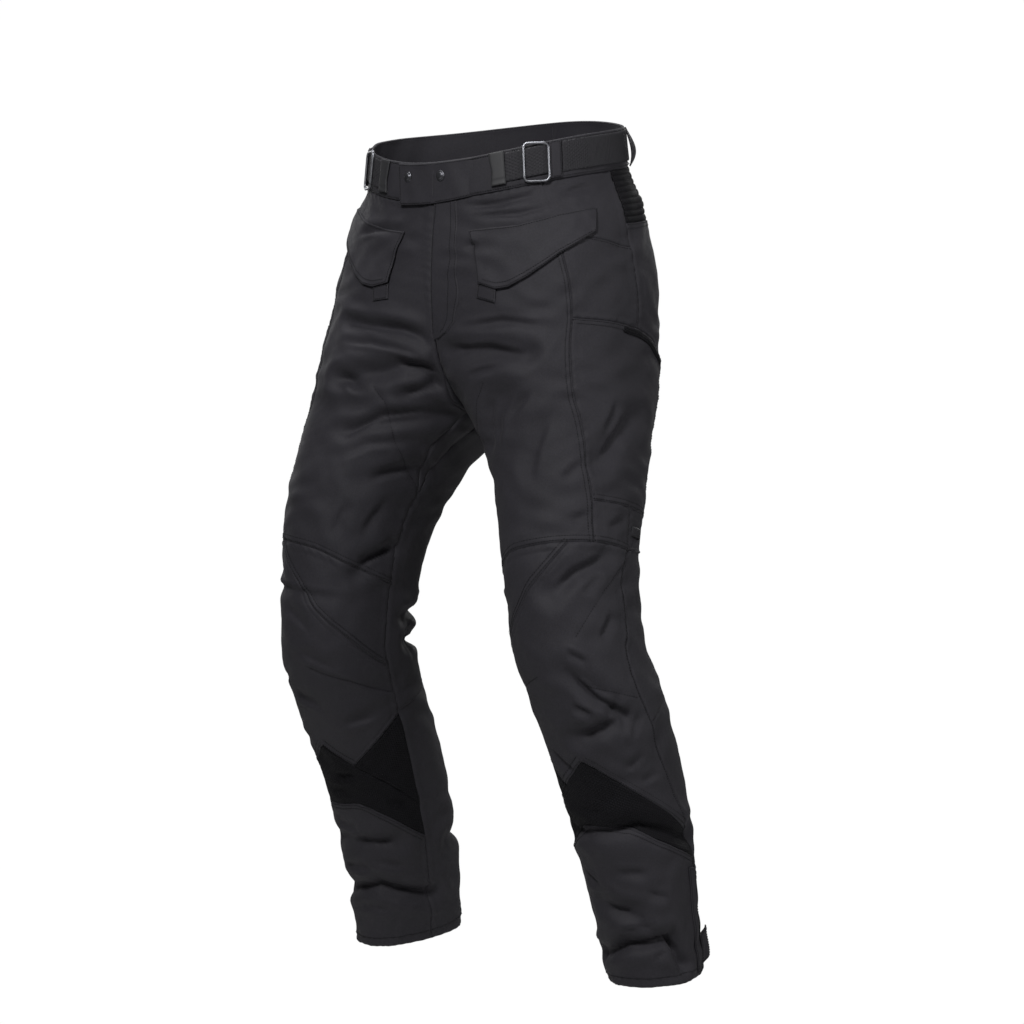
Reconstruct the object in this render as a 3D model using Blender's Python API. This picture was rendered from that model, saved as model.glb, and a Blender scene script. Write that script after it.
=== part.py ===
"""Motorcycle trousers in their worn shape with no wearer, as the panels that are cut and sewn.

Metres, +Z up. The front faces -Y and the wearer's left is +X. The origin is the middle of the
waistband. Every panel is a thin wall whose outer points lie on one surface, worked out from sections
of the two legs. A place on that surface is a turn round the leg in degrees (-180 the inner edge of the
front, 0 the outer side, 180 the inner edge of the back) and a drop down from the waist's edge.
"""
import math

import bmesh
import bpy
import numpy as np
from mathutils import Matrix, Vector
from mathutils.geometry import delaunay_2d_cdt

NAME = "motorcycle_trousers"
GAP = 0.0003
BAND_DROP = 0.052
BAND_PROUD = 0.0015
HEM_DROP = 1.090
CROTCH_DROP = 0.340
WEBBING_THICK = 0.0016
RING_WIDTH = 0.034
RING_HEIGHT = 0.050
RING_WIRE = 0.0034
RING_CORNER = 0.006
RING_SINK = 0.0007
SNAP_RADIUS = 0.0065
SNAP_HEIGHT = 0.0030
LOOP_RISE = 0.0075
LOOP_THICK = 0.0018
RIBS = 9
RIB_HEIGHT = 0.0016
STRETCH_BOTTOM = 0.120

# Half widths (out, inn) and half depths (fore, aft) of a leg's section. square: 2 is an ellipse.
# span: degrees round the section from the outer side to the inner edge, before the centre plane cuts it.
SECTIONS = """
drop   out    inn    fore   aft    square span
0.000  0.168  0.168  0.130  0.126  2.30   90
0.048  0.172  0.172  0.131  0.130  2.35   90
0.110  0.185  0.181  0.132  0.141  2.40   90
0.170  0.182  0.160  0.131  0.147  2.45   95
0.230  0.163  0.136  0.128  0.146  2.45   108
0.285  0.140  0.116  0.124  0.140  2.45   128
0.340  0.117  0.102  0.117  0.127  2.40   150
0.400  0.101  0.085  0.108  0.112  2.30   168
0.480  0.089  0.076  0.099  0.099  2.25   180
0.560  0.081  0.071  0.094  0.090  2.20   180
0.640  0.077  0.070  0.090  0.084  2.20   180
0.720  0.078  0.071  0.087  0.081  2.20   180
0.820  0.073  0.069  0.078  0.083  2.20   180
0.920  0.067  0.066  0.074  0.081  2.20   180
1.000  0.060  0.061  0.072  0.079  2.20   180
1.090  0.055  0.055  0.070  0.077  2.20   180
"""
# Middle of each section (y is negative forward) and its lean in degrees: tip lifts the back, roll the
# outer side, toe turns the front outward. saddle: share of the tip that the sides lose.
POSE = """
drop   x      y      z      tip   roll  toe  saddle
0.000  0.000  0.000  0.022  17    0     0    0.35
0.048  0.000  0.000 -0.024  16    0     0    0.35
0.110  0.010 -0.002 -0.084  12.5  0     0    0.30
0.170  0.026 -0.004 -0.144  8     0     0    0.20
0.230  0.050 -0.006 -0.204  4     2     0    0
0.285  0.074 -0.010 -0.258  0     4     0    0
0.340  0.102 -0.016 -0.312  -4    6     0    0
0.400  0.121 -0.024 -0.370  -8    7     4    0
0.480  0.138 -0.040 -0.446  -10   7     6    0
0.560  0.152 -0.056 -0.524  -6    6     8    0
0.640  0.166 -0.060 -0.602  4     5     10   0
0.720  0.182 -0.038 -0.678  12    4     12   0
0.820  0.195 -0.007 -0.774  14    3     14   0
0.920  0.203  0.016 -0.868  12    2     15   0
1.000  0.208  0.031 -0.940  8     2     16   0
1.090  0.213  0.045 -1.018  4     2     16   0
"""
# What the right leg adds to that: its hip is hitched up (hike), its thigh steps forward and its shin back.
STRIDE = """
drop   x      y      z      tip   swing  hike
0.000  0.000  0.000  0.000  0     0      0.55
0.110  0.000  0.000  0.000  0     0      0.50
0.230  0.000  0.000  0.000  0    -0.08   0.20
0.285  0.000  0.000  0.000  0    -0.14   0.08
0.340  0.000  0.000  0.000  0    -0.16   0
0.400  0.010 -0.026  0.000  0    -0.04   0
0.480  0.014 -0.040  0.000  0     0      0
0.560  0.012 -0.030  0.000  0     0      0
0.640  0.008 -0.022  0.000  0     0      0
0.720  0.001 -0.010  0.000  1     0      0
0.820 -0.006  0.004  0.006  2     0      0
0.920 -0.008  0.018  0.008  3     0      0
1.000 -0.006  0.028  0.010  4     0      0
1.090 -0.004  0.034  0.012  5     0      0
"""
# The largest folds, as soft troughs: leg (1 left, -1 right), half width and depth in mm, then the places
# that the trough runs through.
FOLDS = """
-1 12 7 -98 .316 -143 .292 -176 .304
-1 12 4 -109 .232 -168 .250
-1 10 4 -140 .334 -168 .316
-1 12 5 -110 .386 -161 .348
-1 14 3 -136 .446 -172 .420
-1 12 4 -150 .556 -176 .522
-1 14 4 -60 .914 -150 .922
-1 15 6 -50 .998 -124 .988 -180 1.016
-1 14 6 100 .600 156 .612
-1 14 6 90 .650 150 .646
-1 16 5 64 .330 146 .352
-1 14 5 70 .940 150 .950
1 14 5 -158 .272 -94 .290
1 14 5 -108 .344 -130 .402
1 14 4 -34 .438 2 .370
1 12 4 -78 .586 -24 .548
1 14 4 -76 .668 -34 .728
1 12 5 -88 .742 -46 .726
1 14 5 -150 .868 -58 .858 8 .896
1 14 4 -118 .962 -78 .980
1 12 7 -150 1.048 -92 1.024 -42 1.020 -28 1.064
1 14 6 40 .585 120 .605
1 14 6 36 .660 130 .650
1 16 5 70 .318 150 .350
1 14 4 80 .930 150 .945
"""
# Seam lines, as places they pass through. Where one seam meets another, both have the same place.
SEAMS = {
    "band": [(-180, 0.052), (-82, 0.052), (2, 0.052), (180, 0.052)],
    "crotch": [(-180, 0.300), (-172, 0.336), (-170, 0.370), (-174, 0.410), (-180, 0.450)],
    "front_side": [(-82, 0.052), (-78, 0.124), (-62, 0.240), (-52, 0.340), (-42, 0.450), (-38, 0.487),
                   (-36, 0.534)],
    "side": [(2, 0.052), (2, 0.120), (3, 0.150), (5, 0.258)],
    "stretch_bottom": [(2, 0.120), (48, 0.120), (96, 0.120), (138, 0.120), (180, 0.120)],
    "yoke": [(-78, 0.124), (-45, 0.132), (3, 0.150)],
    "pocket_top": [(-62, 0.240), (-8, 0.252), (5, 0.258), (50, 0.290)],
    "pocket_back": [(50, 0.290), (46, 0.390), (42, 0.487)],
    "pocket_bottom": [(-38, 0.487), (0, 0.487), (42, 0.487)],
    "outseam_low": [(0, 0.487), (0, 0.538)],
    "back_low": [(42, 0.487), (38, 0.530), (0, 0.538)],
    "knee_top": [(-180, 0.566), (-142, 0.550), (-100, 0.537), (-58, 0.534), (-36, 0.534), (0, 0.538)],
    "knee_diagonal": [(-58, 0.534), (-82, 0.566), (-112, 0.603), (-148, 0.637), (-180, 0.676)],
    "outseam": [(0, 0.538), (-8, 0.580), (-6, 0.620), (-14, 0.660), (-18, 0.710), (-17, 0.740),
                (-18, 0.770), (-12, 0.820), (8, 0.890)],
    "outseam_shin": [(8, 0.890), (9, 0.926), (6, 0.990), (4, 1.090)],
    "knee_back": [(-17, 0.740), (40, 0.722), (110, 0.722), (180, 0.738)],
    "gusset_back": [(9, 0.926), (36, 0.980), (40, 1.040), (40, 1.090)],
    "knee_inner_low": [(-180, 0.744), (-152, 0.772), (-122, 0.802)],
    "stretch_top_in": [(-180, 0.877), (-152, 0.834), (-122, 0.802), (-92, 0.770)],
    "stretch_top_out": [(-92, 0.770), (-52, 0.818), (8, 0.890)],
    "stretch_low": [(-180, 0.924), (-140, 0.876), (-112, 0.856), (-70, 0.860), (-38, 0.884), (9, 0.926)],
}
# Edges drawn straight from place to place; the others bend smoothly through them.
STRAIGHT = ("band", "stretch_bottom", "outseam_low", "pocket_bottom")
# What lies on the panels: its legs, its underside's height and its thickness in mm, and its outline.
LAYERS = [
    ("pocket_flap", (1,), 0.3, 1.6, [
        (-157, 0.101), (-114, 0.103), (-74, 0.098), (-30, 0.096), (-38, 0.126), (-79, 0.149),
        (-124, 0.188), (-134, 0.190), (-149, 0.179)]),
    ("pocket_flap", (-1,), 0.3, 1.6, [
        (-162, 0.097), (-114, 0.092), (-74, 0.086), (-34, 0.087), (-42, 0.118), (-84, 0.140),
        (-128, 0.177), (-139, 0.180), (-153, 0.173)]),
    ("flap_pull", (1,), 0.3, 1.4, [(-149, 0.179), (-134, 0.190), (-132, 0.210), (-148, 0.200)]),
    ("flap_pull", (-1,), 0.3, 1.4, [(-153, 0.173), (-139, 0.180), (-138, 0.200), (-151, 0.196)]),
    ("fly_flap", (1,), 0.3, 1.4, [
        (-180, 0.052), (-163, 0.052), (-167, 0.122), (-165, 0.168), (-158, 0.208), (-155.5, 0.232),
        (-160, 0.246), (-170, 0.252), (-180, 0.254)]),
    ("waist_tab", (-1,), 2.1, 2.2, [(-180, 0.004), (-145, 0.004), (-151, 0.056), (-180, 0.056)]),
    ("waist_tab", (1,), 2.1, 2.2, [(-180, 0.004), (-166, 0.004), (-166, 0.056), (-180, 0.056)]),
    ("side_elastic", (1, -1), 1.8, 1.6, [(-59, 0.004), (54, 0.004), (54, 0.044), (-59, 0.044)]),
    ("keeper_loop", (1, -1), 1.8, 2.6, [(-73, 0.001), (-60, 0.001), (-60, 0.050), (-73, 0.050)]),
    ("strap_end", (1, -1), 1.8, 1.6, [(-118, 0.004), (-74, 0.004), (-74, 0.042), (-118, 0.042)]),
    ("strap_clip", (1, -1), 1.8, 4.0, [(-132, 0.002), (-119, 0.002), (-119, 0.044), (-132, 0.044)]),
    ("zip_placket", (1, -1), 0.3, 1.6, [(-3, 0.934), (8, 0.940), (8, 1.086), (-3, 1.086)]),
    ("hem_tab", (1, -1), 0.3, 2.0, [(12, 1.036), (33, 1.030), (35, 1.074), (12, 1.080)]),
    ("pocket_binding", (1, -1), 0.3, 1.2, [
        (-8, 0.254), (5, 0.260), (47, 0.291), (46, 0.300), (5, 0.270), (-8, 0.263)]),
    ("pocket_loop", (1, -1), 0.3, 1.4, [(3, 0.506), (22, 0.510), (22, 0.520), (3, 0.520)]),
]
SINGLE = ("waist_tab", "fly_flap")
TAB_LIFT = 7.0
TAB_LIFT_FROM, TAB_LIFT_TO = 16, 35
# Panels: a place inside each, its wall's outer height and thickness in mm, and its material.
PANELS = {
    "waistband": ([(0, 0.026)], 1.5, 3.0, "shell_cloth"),
    "front_thigh": ([(-120, 0.40)], 0.0, 2.0, "shell_cloth"),
    "side_yoke": ([(-40, 0.08)], 0.0, 2.0, "shell_cloth"),
    "hip_side": ([(-30, 0.20)], 0.0, 2.0, "shell_cloth"),
    "cargo_pocket": ([(0, 0.36)], 0.0, 2.0, "shell_cloth"),
    "side_lower": ([(-18, 0.51)], 0.0, 2.0, "shell_cloth"),
    "back_stretch": ([(100, 0.09)], 0.0, 2.0, "stretch_panel"),
    "back_thigh": ([(120, 0.40), (-177, 0.37)], 0.0, 2.0, "shell_cloth"),
    "side_rear": ([(20, 0.50)], 0.0, 2.0, "shell_cloth"),
    "knee_inner": ([(-130, 0.59)], 0.0, 2.0, "shell_cloth"),
    "knee_main": ([(-90, 0.70)], 0.0, 2.0, "shell_cloth"),
    "knee_gusset": ([(-170, 0.81)], 0.0, 2.0, "stretch_panel"),
    "knee_stretch": ([(-60, 0.85)], 0.0, 2.0, "stretch_panel"),
    "shin": ([(-90, 1.00)], 0.0, 2.0, "shell_cloth"),
    "back_calf": ([(120, 0.95)], 0.0, 2.0, "shell_cloth"),
    "calf_gusset": ([(20, 1.02)], 0.0, 2.0, "stretch_panel"),
}
LAYER_MATERIAL = {
    "side_elastic": "webbing", "strap_end": "webbing", "strap_clip": "clip_metal",
    "pocket_binding": "stretch_panel",
}
# Colour, roughness and metallic value of each material.
FINISHES = {
    "shell_cloth": ((0.030, 0.030, 0.036), 0.85, 0.0),
    "stretch_panel": ((0.012, 0.012, 0.015), 0.90, 0.0),
    "webbing": ((0.020, 0.020, 0.023), 0.80, 0.0),
    "buckle_metal": ((0.42, 0.43, 0.45), 0.35, 1.0),
    "snap_metal": ((0.16, 0.16, 0.18), 0.35, 1.0),
    "clip_metal": ((0.10, 0.10, 0.11), 0.55, 0.6),
}

RING_TURN, RING_DROP = -87.0, 0.025
SNAP_DROP = 0.020
# The flat layout's scale in metres a degree, and how closely it is divided.
PER_DEGREE = 0.00142
GRID_TURN = 20.0
GRID_DROP = 0.022
SEAM_STEP = 0.026
EDGE_STEP = 0.025
END_STEP = 15
CLEAR_OF_SEAM = 0.010
FADE_TURN = 14.0
MM = 0.001


def read_table(text):
    """A text table as one array for each named column."""
    rows = [line.split() for line in text.strip().splitlines()]
    return {name: np.array([float(row[i]) for row in rows[1:]]) for i, name in enumerate(rows[0])}


SECTION_ROWS = read_table(SECTIONS)
POSE_ROWS = read_table(POSE)
STRIDE_ROWS = read_table(STRIDE)
FOLD_LINES = [[float(word) for word in line.split()] for line in FOLDS.strip().splitlines()]


def smooth_curve(knots, values, at):
    """A cubic through the knots whose slopes never overshoot, so a flat stretch stays flat."""
    step = np.diff(knots)
    rise = np.diff(values) / step
    same = rise[:-1] * rise[1:] > 0
    total = np.where(same, rise[:-1] + rise[1:], 1.0)
    middle = np.where(same, 2 * rise[:-1] * rise[1:] / total, 0.0)
    slope = np.concatenate([rise[:1], middle, rise[-1:]])
    at = np.clip(at, knots[0], knots[-1])
    i = np.clip(np.searchsorted(knots, at, side="right") - 1, 0, len(knots) - 2)
    h = step[i]
    t = (at - knots[i]) / h
    return ((2 * t**3 - 3 * t**2 + 1) * values[i] + (t**3 - 2 * t**2 + t) * h * slope[i]
            + (3 * t**2 - 2 * t**3) * values[i + 1] + (t**3 - t**2) * h * slope[i + 1])


def columns_at(rows, drop):
    return {name: smooth_curve(rows["drop"], rows[name], drop) for name in rows if name != "drop"}


def signed_power(value, power):
    return np.sign(value) * np.abs(value) ** power


def body_surface(leg, turn, drop):
    """The smooth form: a rounded section at each drop, leaned by its pose and cut by the centre plane."""
    turn, drop = np.broadcast_arrays(np.asarray(turn, float), np.asarray(drop, float))
    size, pose = columns_at(SECTION_ROWS, drop), columns_at(POSE_ROWS, drop)
    stride = columns_at(STRIDE_ROWS, drop)
    own = 1.0 if leg < 0 else 0.0
    pose = {name: pose[name] + own * stride.get(name, 0.0) for name in pose}
    cut = np.where(drop < CROTCH_DROP, np.clip(pose["x"] / size["inn"], 0, 1), 1.0)
    edge = np.degrees(np.arccos(-cut ** (size["square"] / 2)))
    part = turn / 180
    angle = np.radians(part * (size["span"] + (edge - size["span"]) * np.abs(part) ** 6))
    power = 2 / size["square"]
    across = signed_power(np.cos(angle), power) * np.where(np.cos(angle) > 0, size["out"], size["inn"])
    along = signed_power(np.sin(angle), power) * np.where(np.sin(angle) > 0, size["aft"], size["fore"])
    tip, roll, toe = (np.radians(pose[name]) for name in ("tip", "roll", "toe"))
    flat_along = along * np.cos(tip)
    x = pose["x"] + across * np.cos(toe) - flat_along * np.sin(toe)
    y = pose["y"] + across * np.sin(toe) + flat_along * np.cos(toe)
    lift = along * np.sin(tip) * (1 - pose["saddle"] * (across / size["out"]) ** 2)
    z = pose["z"] + lift + across * np.sin(roll)
    y = y + own * stride["swing"] * x
    z = z + own * stride["hike"] * x**2
    return np.stack([leg * x, y, z], -1)


def surface_normal(leg, turn, drop):
    """Outward direction, from small steps along the turn and the drop."""
    turn, drop = np.broadcast_arrays(np.asarray(turn, float), np.asarray(drop, float))
    step_turn, step_drop = 0.5, 0.001
    along = (body_surface(leg, np.minimum(turn + step_turn, 180), drop)
             - body_surface(leg, np.maximum(turn - step_turn, -180), drop))
    down = (body_surface(leg, turn, np.minimum(drop + step_drop, HEM_DROP))
            - body_surface(leg, turn, np.maximum(drop - step_drop, 0)))
    normal = np.cross(down, along) * leg
    return normal / np.linalg.norm(normal, axis=-1, keepdims=True)


def smooth_step(value):
    value = np.clip(value, 0, 1)
    return value * value * (3 - 2 * value)


def distance_to(line, turn, drop):
    """Distance in the flat layout from each place to a line of places. Below the crotch a leg closes on
    itself, so the line is also met one full turn on."""
    flat = np.array(line) * [PER_DEGREE, 1.0]
    best = np.full(np.shape(turn), 1.0)
    for shift in (0, -360, 360):
        at = np.stack([(turn + shift) * PER_DEGREE, drop], -1)
        apart = 0.0 if shift == 0 else np.where(drop > CROTCH_DROP, 0.0, 1.0)
        for a, b in zip(flat[:-1], flat[1:]):
            share = np.clip(((at - a) @ (b - a)) / ((b - a) @ (b - a)), 0, 1)
            best = np.minimum(best, np.linalg.norm(at - a - share[..., None] * (b - a), axis=-1) + apart)
    return best


def fold_height(leg, turn, drop):
    """Sum of the leg's troughs: each a soft dip across its line with a low ridge on both sides."""
    height = np.zeros(np.shape(turn))
    for side, width, depth, *places in FOLD_LINES:
        if side == leg:
            off = distance_to(list(zip(places[::2], places[1::2])), turn, drop) / (width * MM)
            height -= depth * MM * (1.3 * np.exp(-off**2) - 0.3 * np.exp(-((off - 1.8) / 0.9) ** 2))
    edge = smooth_step((180 - np.abs(turn)) / FADE_TURN)
    return height * np.where(drop < CROTCH_DROP + 0.02, edge, 1.0) * smooth_step((drop - BAND_DROP) / 0.03)


def rib_height(turn, drop):
    """Ribs across the stretch panel: a zigzag of even height, flat at the panel's edges."""
    wave = (drop - BAND_DROP) / (STRETCH_BOTTOM - BAND_DROP) * RIBS
    inside = (turn > 2.5) & (turn < 179.5) & (drop > BAND_DROP + 0.001) & (drop < STRETCH_BOTTOM - 0.001)
    return np.where(inside, RIB_HEIGHT * (1 - np.abs(2 * (wave % 1) - 1)), 0.0)


def run_through(places, straight):
    """A seam's line resampled near SEAM_STEP, keeping its own places."""
    flat = np.array(places, float) * [PER_DEGREE, 1.0]
    length = np.concatenate([[0], np.cumsum(np.linalg.norm(np.diff(flat, axis=0), axis=1))])
    marks = [0.0]
    for a, b in zip(length[:-1], length[1:]):
        count = max(1, round((b - a) / SEAM_STEP))
        marks += [a + (b - a) * (k + 1) / count for k in range(count)]
    marks = np.array(marks)
    if straight or len(places) < 3:
        line = np.stack([np.interp(marks, length, flat[:, i]) for i in (0, 1)], -1)
    else:
        line = np.stack([smooth_curve(length, flat[:, i], marks) for i in (0, 1)], -1)
    return line


def edge_places():
    """Drops of the points on both inner edges, finer round the crotch."""
    lines = list(SEAMS.values()) + [layer[4] for layer in LAYERS]
    near = {0.312, 0.322, 0.330, 0.336, CROTCH_DROP, 0.348, 0.0, HEM_DROP}
    near |= {place[1] for line in lines for place in line if abs(place[0]) == 180}
    plain = np.arange(0, HEM_DROP, EDGE_STEP)
    return sorted(near | {d for d in plain if min(abs(d - m) for m in near) > CLEAR_OF_SEAM})


def end_places():
    """Turns of the points on the waist's and the hem's edges, with the seams that end there."""
    met = {place[0] for line in SEAMS.values() for place in line if place[1] == HEM_DROP}
    plain = np.arange(-180, 181, END_STEP)
    return sorted(met | {t for t in plain if min(abs(t - m) for m in met) > END_STEP / 2})


def flat_mesh():
    """Half of the garment laid out flat and cut into triangles, with its seams and outlines as edges.

    Gives the places, the triangles, and the pairs of places that a seam joins.
    """
    points, edges = [], []

    def add_line(line, closed=False):
        start, count = len(points), len(line)
        points.extend(tuple(map(float, place)) for place in line)
        edges.extend((start + k, start + k + 1) for k in range(count - 1))
        if closed:
            edges.append((start + count - 1, start))

    for name, places in SEAMS.items():
        add_line(run_through(places, name in STRAIGHT))
    seam_count = len(edges)
    for layer in LAYERS:
        outline = layer[4]
        if outline[0][0] == outline[-1][0] == -180:
            add_line(run_through(outline, True))
        else:
            add_line(run_through(outline + outline[:1], True)[:-1], closed=True)
    for turn in (-180, 180):
        add_line([(turn * PER_DEGREE, drop) for drop in edge_places()])
    for drop in (0.0, HEM_DROP):
        add_line([(turn * PER_DEGREE, drop) for turn in end_places()])
    segments = np.array(points)[np.array(edges)]
    start, way = segments[:, 0], segments[:, 1] - segments[:, 0]
    reach = np.maximum((way ** 2).sum(1), 1e-12)

    def room(place):
        share = np.clip(((place - start) * way).sum(1) / reach, 0, 1)
        return np.linalg.norm(start + share[:, None] * way - place, axis=1).min()

    for row, drop in enumerate(np.arange(GRID_DROP, HEM_DROP, GRID_DROP)):
        for turn in np.arange(-170 + (row % 2) * GRID_TURN / 2, 171, GRID_TURN):
            ribbed = turn > 2 and BAND_DROP < drop < STRETCH_BOTTOM
            if not ribbed and room(np.array([turn * PER_DEGREE, drop])) > CLEAR_OF_SEAM:
                points.append((turn * PER_DEGREE, drop))
    rib_rows = BAND_DROP + (STRETCH_BOTTOM - BAND_DROP) * np.arange(1, 2 * RIBS) / (2 * RIBS)
    points.extend((turn * PER_DEGREE, drop) for drop in rib_rows for turn in np.linspace(6, 176, 9))
    verts, out_edges, faces, _, sources, _ = delaunay_2d_cdt(
        [Vector(place) for place in points], edges, [], 0, 1e-6, True)
    places = np.array([(v.x / PER_DEGREE, v.y) for v in verts])
    sewn = {frozenset(pair) for pair, source in zip(out_edges, sources)
            if any(index < seam_count for index in source)}
    return places, [tuple(face) for face in faces], sewn


def inside(outline, at):
    """Which places lie in an outline, by counting its edges to the right of each."""
    hit = np.zeros(len(at), bool)
    for (x1, y1), (x2, y2) in zip(outline, outline[1:] + outline[:1]):
        spans = (y1 > at[:, 1]) != (y2 > at[:, 1])
        cross = x1 + (at[:, 1] - y1) * (x2 - x1) / (y2 - y1 if y2 != y1 else 1.0)
        hit ^= spans & (at[:, 0] < cross)
    return hit


def panel_faces(places, faces, sewn):
    """Every panel's triangles: those reached from the place inside it without crossing a seam."""
    beside = {}
    for index, face in enumerate(faces):
        for k in range(3):
            pair = frozenset((face[k], face[(k + 1) % 3]))
            if pair not in sewn:
                beside.setdefault(pair, []).append(index)
    linked = {index: set() for index in range(len(faces))}
    for pair in beside.values():
        for index in pair:
            linked[index].update(pair)
    middle = places[np.array(faces)].mean(1)
    found = {}
    for name, (seeds, *_) in PANELS.items():
        reached = set()
        for seed in seeds:
            near = int(np.argmin(np.hypot((middle[:, 0] - seed[0]) * PER_DEGREE, middle[:, 1] - seed[1])))
            waiting = [near]
            while waiting:
                index = waiting.pop()
                if index not in reached:
                    reached.add(index)
                    waiting.extend(linked[index] - reached)
        found[name] = sorted(reached)
    return found


def mesh_object(name, verts, faces, material):
    mesh = bpy.data.meshes.new(name)
    mesh.from_pydata([tuple(v) for v in verts], [], faces)
    mesh.materials.append(material)
    piece = bpy.data.objects.new(name, mesh)
    parts.objects.link(piece)
    mesh.shade_smooth()
    mesh.set_sharp_from_angle(angle=math.radians(50))
    return piece


def wall(name, sides, top, under, material):
    """A panel's closed wall from its triangles on one leg or both, drawn in by half a gap at its edges.

    sides: a list of (leg, triangles). top and under: heights of its two faces above the surface.
    Two panels split the rim between the same two places along the same diagonal, so they stay apart.
    """
    keys, corners, known = [], [], {}
    for leg, triangles in sides:
        for face in triangles:
            order = face if leg < 0 else face[::-1]
            for index in order:
                turn, drop = PLACES[index]
                if turn == -180 and drop >= CROTCH_DROP:
                    index = INNER_TWIN[index]
                shared = len(sides) > 1 and turn == -180 and drop < CROTCH_DROP
                key = (0 if shared else leg, index)
                if key not in known:
                    known[key] = len(keys)
                    keys.append((leg, index, shared))
                corners.append(known[key])
    faces = np.array(corners).reshape(-1, 3)
    point = np.array([POINTS[leg][index] for leg, index, _ in keys])
    normal = np.array([NORMALS[leg][index] for leg, index, _ in keys])
    centred = np.array([shared for _, _, shared in keys])
    point[centred, 0] = 0.0
    normal[centred, 0] = 0.0
    directed = {(int(f[k]), int(f[(k + 1) % 3])) for f in faces for k in range(3)}
    rim = [pair for pair in directed if pair[::-1] not in directed]
    inward = np.zeros_like(point)
    before = {}
    for a, b in rim:
        way = point[b] - point[a]
        for end in (a, b):
            side = np.cross(normal[end], way)
            before.setdefault(end, []).append(side / np.linalg.norm(side))
    for end, sides_here in before.items():
        first, second = sides_here[0], sides_here[-1]
        inward[end] = (first + second) / max(1 + first @ second, 0.02) * GAP / 2
    turn_drop = np.array([PLACES[index] for _, index, _ in keys])
    high, low = top(turn_drop) * MM, under(turn_drop) * MM
    outer = point + inward + normal * high[:, None]
    inner = point + inward + normal * low[:, None]
    if len(sides) == 1:
        leg = sides[0][0]
        for part in (outer, inner):
            part[:, 0] = leg * np.maximum(leg * part[:, 0], GAP / 2)
    count = len(keys)
    all_faces = [tuple(f) for f in faces] + [tuple(f[::-1] + count) for f in faces]
    for a, b in rim:
        if keys[a][1] < keys[b][1]:
            all_faces += [(b, a, a + count), (b, a + count, b + count)]
        else:
            all_faces += [(b, a, b + count), (a, a + count, b + count)]
    return mesh_object(name, np.concatenate([outer, inner]), [tuple(map(int, f)) for f in all_faces], material)


def local_frame(leg, turn, drop):
    """Position, and directions towards the back, up and outward, at a place on the surface."""
    at = body_surface(leg, turn, drop)
    out = surface_normal(leg, turn, drop)
    up = body_surface(leg, turn, drop - 0.01) - body_surface(leg, turn, drop + 0.01)
    up = up - (up @ out) * out
    up = up / np.linalg.norm(up)
    return Vector(at), Vector(np.cross(up, out)), Vector(up), Vector(out)


def add_ring(name, leg, turn, drop, material):
    """Rectangular buckle ring: round wire along a rectangle with quarter-circle corners."""
    at, back, up, out = local_frame(leg, turn, drop)
    half_w, half_h = (RING_WIDTH - RING_WIRE) / 2, (RING_HEIGHT - RING_WIRE) / 2
    centre = at + out * (1.8 * MM + WEBBING_THICK + GAP + RING_WIRE / 2 - RING_SINK)
    path = []
    for corner, (sx, sy) in enumerate(((1, 1), (-1, 1), (-1, -1), (1, -1))):
        for step in range(5):
            angle = math.radians(90 * corner + 22.5 * step)
            w = sx * (half_w - RING_CORNER) + RING_CORNER * math.cos(angle)
            h = sy * (half_h - RING_CORNER) + RING_CORNER * math.sin(angle)
            path.append(centre + back * w + up * h)
    curve = bpy.data.curves.new(name, "CURVE")
    curve.dimensions = "3D"
    curve.bevel_depth = RING_WIRE / 2
    curve.bevel_resolution = 2
    line = curve.splines.new("POLY")
    line.points.add(len(path) - 1)
    for point, place in zip(line.points, path):
        point.co = (*place, 1.0)
    line.use_cyclic_u = True
    curve.materials.append(material)
    parts.objects.link(bpy.data.objects.new(name, curve))


def add_rear_loop(name, leg, material):
    """Belt loop behind the elastic: a strip whose ends lie on the waistband and whose middle arches."""
    turns = np.array([57.0, 66.0])
    drops = np.linspace(0.002, 0.050, 9)
    turn, drop = np.meshgrid(turns, drops)
    arch = np.sin(np.pi * (drop - drops[0]) / (drops[-1] - drops[0])) ** 0.7 * LOOP_RISE
    base = BAND_PROUD + GAP + arch
    normal = surface_normal(leg, turn, drop)
    point = body_surface(leg, turn, drop)
    under = (point + normal * base[..., None]).reshape(-1, 3)
    over = (point + normal * (base + LOOP_THICK)[..., None]).reshape(-1, 3)
    verts = np.concatenate([over, under])
    half = len(over)
    faces = []
    for row in range(len(drops) - 1):
        a, b, c, d = 2 * row, 2 * row + 1, 2 * row + 3, 2 * row + 2
        faces += [(a, d, c, b), (a + half, b + half, c + half, d + half)]
        faces += [(a, a + half, d + half, d), (b, c, c + half, b + half)]
    last = 2 * len(drops) - 2
    faces += [(0, 1, 1 + half, half), (last, last + half, last + 1 + half, last + 1)]
    if leg < 0:
        faces = [face[::-1] for face in faces]
    mesh_object(name, verts, faces, material)


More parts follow.
